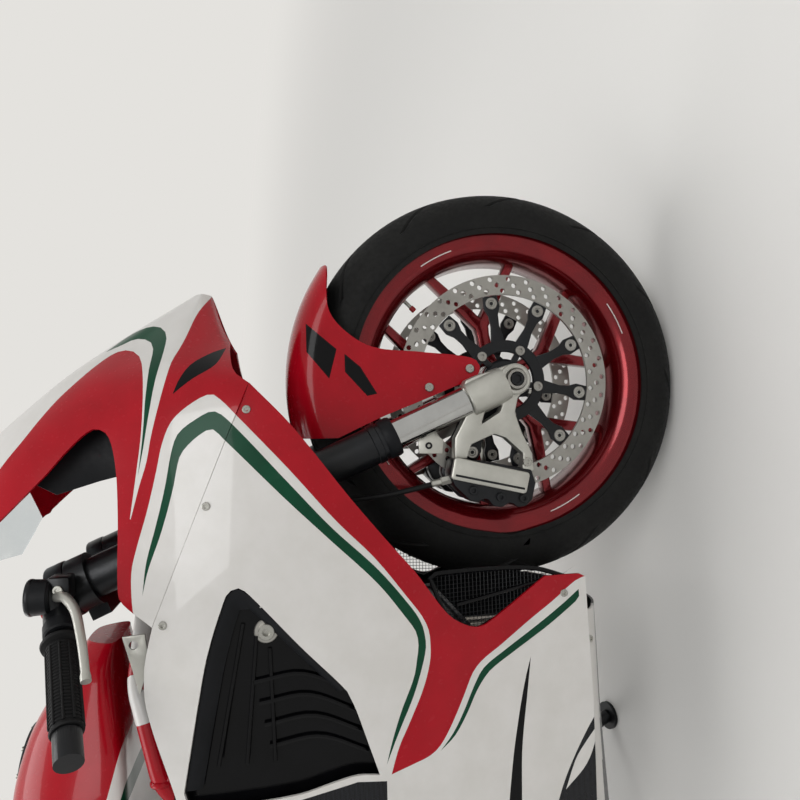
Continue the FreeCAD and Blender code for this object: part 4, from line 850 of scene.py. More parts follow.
@dataclass
class Panel:
    """A thin body panel with its livery, drawn for the right-hand side or over the centre.

    Attributes:
        outline: Its edge (x, z).
        base: Its finish where no mark lies.
        marks: Colour areas, later ones on top.
        holes: Openings through it (x, z).
        back: Finish of its inner face.
    """

    outline: list
    base: Finish
    marks: list = field(default_factory=list)
    holes: list = field(default_factory=list)
    back: Finish = Palette.NYLON

    def cut(self, part) -> None:
        """Trims the sheet to the outline and opens the holes."""
        for loop in (self.outline, *self.holes):
            carve(part, loop)
        gone = []
        for face in part.faces:
            x, z = side_of(face.calc_center_median(), None)
            if not inside(self.outline, x, z) or any(inside(hole, x, z) for hole in self.holes):
                gone.append(face)
        bmesh.ops.delete(part, geom=gone, context="FACES")

    def paint(self, part, sculpt: Sculpt) -> None:
        """Cuts the livery into the sheet and colours it."""
        base = sculpt.slot(self.base)
        for mark in self.marks:
            carve(part, mark.loop, mark.depth)
        for face in part.faces:
            face.material_index = base
            centre = face.calc_center_median()
            for mark in self.marks:
                if inside(mark.loop, *side_of(centre, mark.depth)):
                    face.material_index = sculpt.slot(mark.finish)

    def thicken(self, part, sculpt: Sculpt, outward) -> None:
        """Gives the sheet its wall, away from outward(centre)."""
        bmesh.ops.remove_doubles(part, verts=part.verts, dist=0.12)
        bmesh.ops.recalc_face_normals(part, faces=part.faces)
        part.normal_update()
        votes = sum(1 if face.normal.dot(outward(face.calc_center_median())) > 0 else -1
                    for face in part.faces)
        if votes < 0:
            bmesh.ops.reverse_faces(part, faces=part.faces)
            part.normal_update()
        normals = {tuple(round(c, 3) for c in vert.co): vert.normal.copy() for vert in part.verts}
        back = sculpt.slot(self.back)
        outer = list(part.faces)
        shades = [face.material_index for face in outer]
        inner = bmesh.ops.duplicate(part, geom=list(part.verts) + list(part.edges) + outer)
        twins = inner["vert_map"]
        shell = [item for item in inner["geom"] if isinstance(item, bmesh.types.BMFace)]
        for vert in [item for item in inner["geom"] if isinstance(item, bmesh.types.BMVert)]:
            vert.co -= normals[tuple(round(c, 3) for c in vert.co)] * PANEL_WALL
        bmesh.ops.reverse_faces(part, faces=shell)
        for face in shell:
            face.material_index = back
        rims = [edge for face in outer for edge in face.edges if len(edge.link_faces) == 1]
        for edge, shade in [(e, shades[outer.index(e.link_faces[0])]) for e in rims]:
            first, second = edge.verts
            wall = part.faces.new((second, first, twins[first], twins[second]))
            wall.material_index = shade
        bmesh.ops.recalc_face_normals(part, faces=part.faces)


def side_sheet(low: tuple, high: tuple, cell: float = 14.0, drop: float = 0.0):
    """A grid on the right side hull between two corners (x, z), set in by drop."""
    part = bmesh.new()
    wide, tall = high[0] - low[0], high[1] - low[1]
    bmesh.ops.create_grid(part, x_segments=round(wide / cell), y_segments=round(tall / cell),
                          size=0.5)
    for vert in part.verts:
        x, z = low[0] + (vert.co.x + 0.5) * wide, low[1] + (vert.co.y + 0.5) * tall
        vert.co = (x, drop - hull_width(x, z), z)
    return part


def nose_sheet(low: float, high: float, first: float, last: float, cells: tuple):
    """A grid on the nose between two stations and two shares of its section."""
    part = bmesh.new()
    bmesh.ops.create_grid(part, x_segments=cells[0], y_segments=cells[1], size=0.5)
    for vert in part.verts:
        x = low + (vert.co.x + 0.5) * (high - low)
        vert.co = nose_point(x, first + (vert.co.y + 0.5) * (last - first))
    return part


def mirror_part(part):
    """The same bmesh on the bike's other side."""
    twin = part.copy()
    bmesh.ops.scale(twin, vec=(1, -1, 1), verts=twin.verts)
    bmesh.ops.reverse_faces(twin, faces=twin.faces)
    return twin


def welded(part, reach: float = 0.3):
    """A right-hand bmesh joined to its mirrored twin along the bike's middle."""
    for vert in part.verts:
        if abs(vert.co.y) < reach:
            vert.co.y = 0.0
    twin = mirror_part(part)
    store = bpy.data.meshes.new("twin")
    twin.to_mesh(store)
    twin.free()
    part.from_mesh(store)
    bpy.data.meshes.remove(store)
    bmesh.ops.remove_doubles(part, verts=[vert for vert in part.verts if vert.co.y == 0.0],
                             dist=0.02)
    return part


# Livery, measured in the photograph as the eye sees it on the plane y = -200.
SEEN = -200.0
WHITE_EDGE = [(-307, 795), (-284, 811), (-266, 814), (-229, 814), (-202, 808), (-157, 795),
              (-111, 784), (-75, 776), (-48, 764), (-27, 740), (-17, 717), (-27, 703), (-43, 688),
              (-111, 626), (-179, 567.5), (-230, 518), (-282.6, 477.1), (-304.9, 460.7),
              (-323.3, 452), (-339.7, 450), (-363.9, 451), (-397.8, 460.7), (-438.5, 479.1),
              (-468.5, 493.6), (-501.5, 504.2, None)]
GREEN_BAND = [(-259, 802, None), (-220, 797), (-175, 785), (-130, 774), (-84, 765), (-64, 757),
              (-48, 737), (-38, 715), (-50, 697), (-130, 625), (-187, 573.5), (-244.8, 514),
              (-297.1, 471.3), (-315.5, 460.7), (-331, 456.8), (-345.5, 455.8), (-367.8, 460.7),
              (-405.6, 473.3), (-450.1, 493.6), (-488.9, 510.1, None), (-460.8, 502.3),
              (-424, 489.7), (-382.3, 472.3), (-357.2, 467.4), (-341.7, 465.5), (-325.2, 468.4),
              (-308.8, 479.1), (-261.3, 515.9), (-202.2, 576), (-150, 629), (-72, 704), (-60, 717),
              (-66, 731), (-80, 747), (-93, 756), (-134, 765), (-184, 779), (-229, 795)]
BLADE = [(-501.5, 505, None), (-490.9, 475.2), (-483.1, 454.9), (-472.5, 441.3), (-450.2, 426.8),
         (-412.4, 408.4), (-382.3, 394.8), (-367.8, 382.2), (-349.4, 356.1), (-319.4, 315.4),
         (-297.1, 283.4), (-272.9, 251.5), (-267, 235, None)]
PIN_GREEN = [(-478.2, 440.3, None), (-456.9, 422.9), (-430.8, 408.4), (-397.8, 392.9),
             (-377.5, 380.3), (-356.2, 350.3), (-331, 311.6), (-304.9, 273.8),
             (-284.5, 247.6, None), (-295.2, 247.6), (-308.7, 263.1), (-331, 294.1),
             (-356.2, 333.8), (-377.5, 366.7), (-386.2, 376.4), (-405.6, 390), (-434.6, 404.5),
             (-460.8, 421)]
SPEAR = [(-640.9, 361, None), (-505.3, 345.4), (-442.4, 334.8), (-393.9, 324.1),
         (-367.8, 316.4, None), (-412.4, 322.2), (-468.6, 329.9), (-505.3, 332.8),
         (-640.9, 335.7, None)]
TAIL_SLASH = [(-640.9, 310.5, None), (-544.1, 279.6), (-505.3, 262.1), (-464.7, 238.9),
              (-435.6, 218.5, None), (-486, 208.9), (-640.9, 208.9, None)]
SLASH_WHITE = [(-544.1, 273.7, None), (-505.3, 258.3), (-486, 244.7), (-464.7, 227.3, None),
               (-486, 231.2), (-515, 244.7)]
VENT = smoothed([(-256, 697, None), (-254, 686), (-270, 668), (-330, 614), (-388, 560), (-402, 553),
                 (-416, 547), (-458, 533), (-500, 519, None), (-497, 547), (-503, 580), (-512, 620),
                 (-520, 752, None), (-500, 758, None), (-352, 731), (-310, 720), (-275, 708),
                 (-262, 703)], 9, True)
FAIRING_EDGE = smoothed([(-299.6, 792.4, None), (-2, 672, None), (-58, 620), (-151, 549),
                         (-205, 505), (-251, 466), (-289, 439), (-312, 420), (-326, 397),
                         (-330, 381), (-326, 366), (-274, 278, None), (-276, 224, None),
                         (-281, 214, None), (-449, 209, None), (-625, 208, None), (-640, 330),
                         (-664, 520), (-640, 660), (-560, 752, None), (-500, 770), (-400, 801),
                         (-350, 803)], 12, True)


@dataclass
class Bodywork:
    """Side fairings, their vents and ducts, nose cowl and screen."""

    marks: list = field(default_factory=list)

    def plan(self) -> None:
        """Sets out the side livery from the photograph's outlines."""
        front = [Vector(point) for point in ((-200, 150), (60, 300), (100, 700), (60, 800),
                                             (-307, 860))]
        self.marks = [
            Mark(Palette.RED, smoothed(WHITE_EDGE, 9) + smoothed(BLADE, 9) + front, SEEN),
            Mark(Palette.GREEN, smoothed(GREEN_BAND, 9, True), SEEN),
            Mark(Palette.GREEN, smoothed(PIN_GREEN, 9, True), SEEN),
            Mark(Palette.GLOSS_BLACK, smoothed(SPEAR, 12, True), SEEN),
            Mark(Palette.CARBON, smoothed(TAIL_SLASH, 12, True), SEEN),
            Mark(Palette.WHITE, smoothed(SLASH_WHITE, 9, True), SEEN),
            Mark(Palette.CARBON, [Vector(p) for p in ((-700, 510), (-509, 510), (-505, 547),
                                                      (-519, 620), (-527, 775), (-700, 775))]),
        ]

    def build_sides(self) -> None:
        """Side fairings with their livery, the vents' openings and screws."""
        panel = Panel(FAIRING_EDGE, Palette.WHITE, self.marks, [VENT])
        right = Sculpt("fairing_panel_right")
        left = Sculpt("fairing_panel_left")
        part = side_sheet((-670, 200), (14, 812))
        panel.cut(part)
        panel.paint(part, right)
        panel.thicken(part, right, lambda centre: Vector((0, -1, 0)))
        left.finishes = list(right.finishes)
        left.absorb(mirror_part(part))
        right.absorb(part)
        for (name, side), sculpt in zip(SIDES, (right, left)):
            for x, z in ((-296, 779), (-154, 725.5), (-36.5, 675.5), (-590, 300), (-610, 640),
                         (-300, 250)):
                sculpt.bolt(on_hull(x, z, side, 0.6), Vector((0, side, 0)), 5.2, 3.2)
            sculpt.emit("chassis", ("side_fairing_" + name,), "white_panel")

    def build_vents(self) -> None:
        """Black lips, recessed inner panels and fins behind the vents, one set a side."""
        inner = smoothed([(-250, 712, None), (-236, 690, None), (-300, 620), (-380, 545, None),
                          (-470, 515), (-520, 500, None), (-535, 620), (-540, 775, None),
                          (-380, 758, None)], 12, True)
        for name, side in SIDES:
            vent = Sculpt("vent_inner_" + name)
            sheet = Panel(inner, Palette.GLOSS_BLACK, back=Palette.GLOSS_BLACK)
            part = side_sheet((-545, 495), (-230, 780), 16.0, drop=17.0)
            sheet.cut(part)
            sheet.paint(part, vent)
            sheet.thicken(part, vent, lambda centre: Vector((0, -1, 0)))
            vent.absorb(mirror_part(part) if side == LEFT else part.copy())
            part.free()
            lip = [(-500, 757), (-352, 730), (-310, 719), (-275, 707), (-262, 702), (-256, 697),
                   (-256, 687), (-271, 668), (-330, 613), (-388, 559)]
            band = [(-500, 736), (-360, 709), (-316, 698), (-290, 690), (-282, 687), (-279, 685),
                    (-279, 681), (-290, 668), (-338, 622), (-393, 570)]
            outer_line, inner_line = smoothed(lip, 7), smoothed(band, 7)
            count = 40

            def place(u: float, v: float) -> Vector:
                first = outer_line[round(v * (len(outer_line) - 1))]
                second = inner_line[round(v * (len(inner_line) - 1))]
                spot = first.lerp(second, u)
                deep = 5.0 + 8.0 * u * u
                return on_hull(spot[0], spot[1], side, deep)

            vent.surface(Palette.NYLON, place, 4, count)
            for index in range(4):
                start = (-372 - 27 * index, 672 - 6 * index)
                end = (-392 - 27 * index, 556 - 8 * index)
                line = smoothed([start, (start[0] + 6, (start[1] + end[1]) / 2), end], 12)
                vent.tube(Palette.GLOSS_BLACK, [on_hull(*p, side, 14) for p in line], 3.2, 8)
            for index in range(3):
                start, end = (-300 - 16 * index, 684 - 16 * index), (-470, 716 - 34 * index)
                vent.tube(Palette.GLOSS_BLACK, [
                    Vector((start[0] + (end[0] - start[0]) * t,
                            side * (hull_width(start[0], start[1]) - 16),
                            start[1] + (end[1] - start[1]) * t)) for t in (0.0, 0.34, 0.67, 1.0)],
                          2.6, 8)
            spot = on_hull(-311, 656, side, 17)
            vent.ring(Palette.STEEL, spot, 15, 8, 2.0)
            vent.bolt(spot, Vector((0, side, 0)), 10, 8)
            vent.emit("chassis", slot="black_plastic")

    def build_ducts(self) -> None:
        """Wire mesh and frame of the duct behind each fairing's front edge."""
        edge = smoothed([(-336, 384), (-322, 418), (-262, 446, None), (-256, 436), (-262, 300),
                         (-282, 236, None), (-284, 262), (-318, 340)], 9, True)
        ducts = Sculpt("duct_mesh")
        mesh_part = side_sheet((-345, 230), (-250, 452), 5.6, drop=8.0)
        carve(mesh_part, edge)
        gone = [f for f in mesh_part.faces if not inside(edge,
                                                         *side_of(f.calc_center_median(), None))]
        bmesh.ops.delete(mesh_part, geom=gone, context="FACES")
        bmesh.ops.wireframe(mesh_part, faces=mesh_part.faces, thickness=0.9, use_replace=True,
                            use_boundary=True, use_even_offset=True)
        twin = mirror_part(mesh_part)
        ducts.absorb(mesh_part, Palette.ANODISED)
        ducts.absorb(twin, Palette.ANODISED)
        for side in (RIGHT, LEFT):
            ring = [on_hull(*p, side, 6.5) for p in edge + edge[:1]]
            ducts.tube(Palette.GLOSS_BLACK, ring, 3.4, 8, True)
            rib = smoothed([(-299, 410), (-292, 360), (-278, 262)], 12)
            ducts.tube(Palette.GLOSS_BLACK, [on_hull(*p, side, 6) for p in rib], 2.6, 8)
        ducts.emit("chassis", ("duct_grilles",), "black_plastic")

    def build_nose(self) -> None:
        """Nose cowl with its swooshes, and the screen above it."""
        edge = smoothed([(-299.6, 793, None), (-2, 672.6, None), (15, 692), (60, 700),
                         (118, 700, None), (160, 730, None), (160, 800, None), (60, 930, None),
                         (-62, 1051, None), (-196, 1012, None), (-118, 932), (-82, 901), (-60, 878),
                         (-56, 866), (-66, 850), (-106, 839), (-156, 836), (-250, 836),
                         (-270, 832)], 9, True)
        almond = [(-166, 815), (-111, 807), (-66, 801), (-20, 798), (16, 798), (30, 801), (37, 809),
                  (38, 819), (34, 831), (20, 851), (2, 872), (-20, 895), (-43, 915), (-66, 933),
                  (-98, 958), (-150, 992)]
        green = [(-114, 805), (-66, 799), (-20, 795), (16, 790), (39, 785), (48, 788), (52, 799),
                 (50, 810), (45, 820), (36, 840, None), (56, 812), (65, 794), (67, 781), (64, 773),
                 (55, 769), (39, 772), (2, 783), (-43, 792), (-84, 799)]
        lower_white = [(-166, 814), (-128, 804), (-98, 795), (-66, 789), (-30, 780), (2, 771),
                       (25, 763), (36, 756), (52, 747), (84, 731), (106, 712)]
        recess = [(-16, 763, None), (2, 755), (20, 741), (34, 716), (40, 698, None), (20, 711),
                  (2, 740)]
        white_zone = smoothed(lower_white, 9) + [Vector(p) for p in ((200, 700), (200, 1090),
                                                                     (-150, 1090))]
        white_zone += smoothed(almond, 9)[::-1]
        inner_white = [p for p in smoothed(WHITE_EDGE, 9) if p[1] > 560]
        inner_white += [Vector(p) for p in ((-182, 500), (-340, 500), (-340, 795))]
        marks = [
            Mark(Palette.WHITE, inner_white, SEEN),
            Mark(Palette.WHITE, white_zone, SEEN),
            Mark(Palette.GREEN, smoothed(green, 8, True), SEEN),
            Mark(Palette.GLOSS_BLACK, smoothed(recess, 8, True), SEEN),
            self.marks[1],
        ]
        cowl = Sculpt("nose_cowl")
        part = nose_sheet(-302, 138, 0.0, 0.5, (48, 40))
        panel = Panel(edge, Palette.RED, marks, back=Palette.RED)
        panel.cut(part)
        panel.paint(part, cowl)
        part = welded(part)
        panel.thicken(part, cowl, lambda centre: centre - Vector((-120, 0, 760)))
        cowl.absorb(part)
        cowl.emit("chassis", ("front_cowl",), "red_panel")
        screen = Sculpt("screen_bubble")
        screen_edge = smoothed([(-62, 1051.6, None), (-196, 1012.6, None), (-250, 1040, None),
                                (-262, 1120, None), (-120, 1120, None), (-40, 1090, None)], 14,
                               True)
        glass = Panel(screen_edge, Palette.SCREEN, back=Palette.SCREEN)
        part = nose_sheet(-272, -50, 0.2, 0.8, (26, 44))
        glass.cut(part)
        glass.paint(part, screen)
        glass.thicken(part, screen, lambda centre: centre - Vector((-120, 0, 760)))
        screen.absorb(part)
        screen.emit("chassis", ("windscreen",), "clear_screen")

    def build(self) -> None:
        """Builds every panel."""
        self.plan()
        self.build_sides()
        self.build_vents()
        self.build_ducts()
        self.build_nose()


# Wheels: arms, the turn of the first arm and of the valve in degrees, and an arm's half width.
ARMS = 5
ARM_TURN = 10.4
VALVE_TURN = 45.8
ARM_HALF = 5.0
# Tread: rows and rounds of the mesh, how far rows shear along the crown, the wall's thickness.
TREAD_ROWS = 18
ROUNDS = 144
SHEAR = 0.32
TYRE_WALL = 8.0
# Grooves: lean from the crown's middle where they run, spacing and length around the tyre, all in
# degrees; then the width of their edge and their depth.
GROOVE_LEAN = (10, 60)
GROOVE_STEP = 15
GROOVE_SPAN = 2.5
GROOVE_EDGE = 4.0
GROOVE_DEPTH = 3.0


@dataclass
class Wheel:
    """A cast wheel with its tyre.

    Attributes:
        end: "front" or "rear".
        centre: Its axle.
        rim_half: Half width of the rim.
        well_half: Half width of the well.
        hub: Radius and half length of the hub.
        crown: Radius of the tyre's crown.
        radius: The tyre's radius.
        junction: Where each arm forks.
        depth: Thickness of the spokes across the bike.
        bore: Radius of the hub's bore.
        edge: Height of the tread's edge above the crown's centre.
    """

    end: str
    centre: Vector
    rim_half: float
    well_half: float
    hub: tuple
    crown: float
    radius: float
    junction: float
    depth: float
    bore: float
    edge: float = 0.0

    def build_rim(self) -> None:
        """Barrel, hub and five forked arms."""
        rim = Sculpt(self.end + "_wheel_casting")
        half, well = self.rim_half, self.well_half
        lip = [(well, 201), (half - 12, 204.5), (half - 7, 211), (half - 4.5, 214),
               (half - 4.5, 229), (half - 3.5, 232), (half - 1, 232.5), (half, 231), (half, 212),
               (half - 2, 206.5), (half - 10, 197), (well, 191)]
        profile = [(r, h) for h, r in lip] + [(r, -h) for h, r in lip[::-1]]
        rim.lathe(Palette.CANDY, profile, self.centre, ACROSS, 96, closed=True)
        radius, reach = self.hub
        shell = [(self.bore + 0.5, -reach), (radius - 2, -reach), (radius, 2 - reach),
                 (radius - 5, 10 - reach), (radius - 5, reach - 10), (radius, reach - 2),
                 (radius - 2, reach), (self.bore + 0.5, reach)]
        rim.lathe(Palette.CANDY, shell, self.centre, ACROSS, 48, closed=True)
        for turn in range(ARMS):
            angle = ARM_TURN + 360 / ARMS * turn
            matrix = Matrix.Translation(self.centre) @ Matrix.Rotation(-math.radians(angle), 4, "Y")
            root, fork = radius - 4, self.junction
            branch = math.radians(36)
            end_x = fork + (119 if self.end == "front" else 115) * math.cos(branch)
            end_z = (end_x - fork) * math.tan(branch)
            side = [(root, 15), (root + 16, 11), (fork - 14, 10), (fork - 2, 11.5),
                    (end_x - 6, end_z + ARM_HALF + 1), (end_x + 3, end_z + ARM_HALF + 5),
                    (end_x + 5, end_z - ARM_HALF), (end_x - 4, end_z - ARM_HALF - 4),
                    (fork + 27, 9.5), (fork + 14, 0)]
            loop = side + [(x, -z) for x, z in side[-2::-1]]
            rim.plate(Palette.CANDY, loop, -self.depth / 2, self.depth / 2, 3.2, matrix=matrix)
        way = Matrix.Rotation(-math.radians(VALVE_TURN), 4, "Y") @ Vector((1, 0, 0))
        base = self.centre + ACROSS * 6
        rim.rod(Palette.ZINC, base + way * 191, base + way * 174, 3.0, 0.6, 12)
        rim.rod(Palette.SIGNAL, base + way * 177, base + way * 168, 4.4, 0.8, 12)
        for sign in (-1, 1):
            for turn in range(4):
                start = math.radians(20 + 90 * turn)
                arc = [self.centre + Vector((math.cos(start + t * 0.05) * 213, sign * (half + 0.35),
                                             math.sin(start + t * 0.05) * 213)) for t in range(6)]
                rim.tube(Palette.WHITE, arc, 0.9, 6)
        rim.emit(self.end + "_wheel", (self.end + "_rim",), "red_paint")

    def build_tyre(self) -> None:
        """Tyre with a moulded tread: sparse slanted grooves."""
        tyre = Sculpt(self.end + "_tyre_tread")
        middle = self.radius - self.crown
        outer = []
        start = math.asin(self.edge / self.crown) if self.edge else 0.0
        for index in range(TREAD_ROWS + 1):
            angle = start + (math.pi - 2 * start) * index / TREAD_ROWS
            outer.append((middle + math.sin(angle) * self.crown, math.cos(angle) * self.crown))
        bead = self.rim_half - 4.9
        half = outer[0][1]
        side = [(middle - 8 + self.edge, half - 1.0), (middle - 11, (half + bead) / 2), (229, bead),
                (213.5, bead)]
        outline = [(r, -h) for r, h in side[::-1]] + outer[::-1] + side
        lining = self.crown - TYRE_WALL
        inner = [(213.5, bead - 9), (232, bead - 10), (middle, half - TYRE_WALL)]
        for index in range(1, TREAD_ROWS, 3):
            angle = start + (math.pi - 2 * start) * index / TREAD_ROWS
            inner.append((middle + math.sin(angle) * lining, math.cos(angle) * lining))
        inner += [(middle, TYRE_WALL - half), (232, 10 - bead), (213.5, 9 - bead)]
        part = bmesh.new()
        verts = [part.verts.new((r, 0, h)) for r, h in outline + inner]
        edges = [part.edges.new(pair) for pair in zip(verts, verts[1:] + verts[:1])]
        bmesh.ops.spin(part, geom=verts + edges, cent=(0, 0, 0), axis=(0, 0, 1), angle=math.tau,
                       steps=ROUNDS, use_merge=True, use_duplicate=False)
        bmesh.ops.recalc_face_normals(part, faces=part.faces)
        for vert in part.verts:
            distance = math.hypot(vert.co.x, vert.co.y)
            if distance > middle:
                lean = abs(math.degrees(math.atan2(vert.co.z, distance - middle)))
                vert.co = Matrix.Rotation(-math.radians(SHEAR * lean), 3, "Z") @ vert.co
        grooves = []
        for face in part.faces:
            centre = face.calc_center_median()
            distance = math.hypot(centre.x, centre.y)
            lean = math.degrees(math.atan2(centre.z, distance - middle))
            around = math.degrees(math.atan2(centre.y, centre.x)) % 360
            if distance < middle + 4 or math.hypot(distance - middle, centre.z) < self.crown - 3:
                continue
            column = (around + SHEAR * abs(lean)) % 360
            turn = int(column // GROOVE_STEP) % 2 == 0
            inward = GROOVE_LEAN[0] < abs(lean) < GROOVE_LEAN[1]
            if inward and column % GROOVE_STEP < GROOVE_SPAN and (lean > 0) == turn:
                grooves.append(face)
        bmesh.ops.inset_region(part, faces=grooves, thickness=GROOVE_EDGE, depth=0.0,
                               use_even_offset=True)
        for vert in {v for face in grooves for v in face.verts}:
            spot = Vector((vert.co.x, vert.co.y, 0))
            ring = spot.normalized() * middle
            vert.co -= (vert.co - ring).normalized() * GROOVE_DEPTH
        turn = ACROSS.to_track_quat("Z", "Y").to_matrix().to_4x4()
        tyre.absorb(part, Palette.RUBBER, Matrix.Translation(self.centre) @ turn)
        for sign in (-1, 1):
            for radius in (middle - 4, 236):
                bulge = half + 0.2 if radius == middle - 4 else (bead + half) / 2 + 0.6
                arc = [self.centre + Vector((math.cos(t) * radius, sign * bulge,
                                             math.sin(t) * radius))
                       for t in (math.tau * i / 120 for i in range(121))]
                tyre.tube(Palette.RUBBER, arc, 0.9, 6, True)
        tyre.emit(self.end + "_wheel", (self.end + "_tyre",), "tyre")

    def build(self) -> None:
        """Builds rim and tyre."""
        self.build_rim()
        self.build_tyre()


def round_outline(x: float, z: float, radius: float, sides: int) -> list:
    """Points of a circle seen from the side."""
    turns = [math.tau * index / sides for index in range(sides)]
    return [(x + radius * math.cos(turn), z + radius * math.sin(turn)) for turn in turns]


def drilled_disc(sculpt: Sculpt, centre: Vector, outer: float, inner: float, half: float,
                 groups: int) -> None:
    """A brake disc with slanted rows of round holes, added to a piece.

    Args:
        sculpt: The piece.
        centre: The disc's middle.
        outer: Its radius.
        inner: Its inner radius.
        half: Half its thickness.
        groups: Rows of holes around it.
    """
    holes = [round_outline(0, 0, inner, 72)]
    band = outer - inner
    for index in range(groups):
        for row in range(3):
            radius = inner + band * (0.2 + 0.3 * row)
            turn = math.tau * (index + 0.33 * row) / groups
            holes.append(round_outline(radius * math.cos(turn), radius * math.sin(turn),
                                       band * 0.13, 12))
    sculpt.plate(Palette.STEEL, round_outline(0, 0, outer, 112), -half, half, 0.0, tuple(holes),
                 Matrix.Translation(centre))


# Distance of the front discs from the bike's middle, and half width of the fender's legs.
DISC_SIDE = 70
FENDER_HALF = 84.0


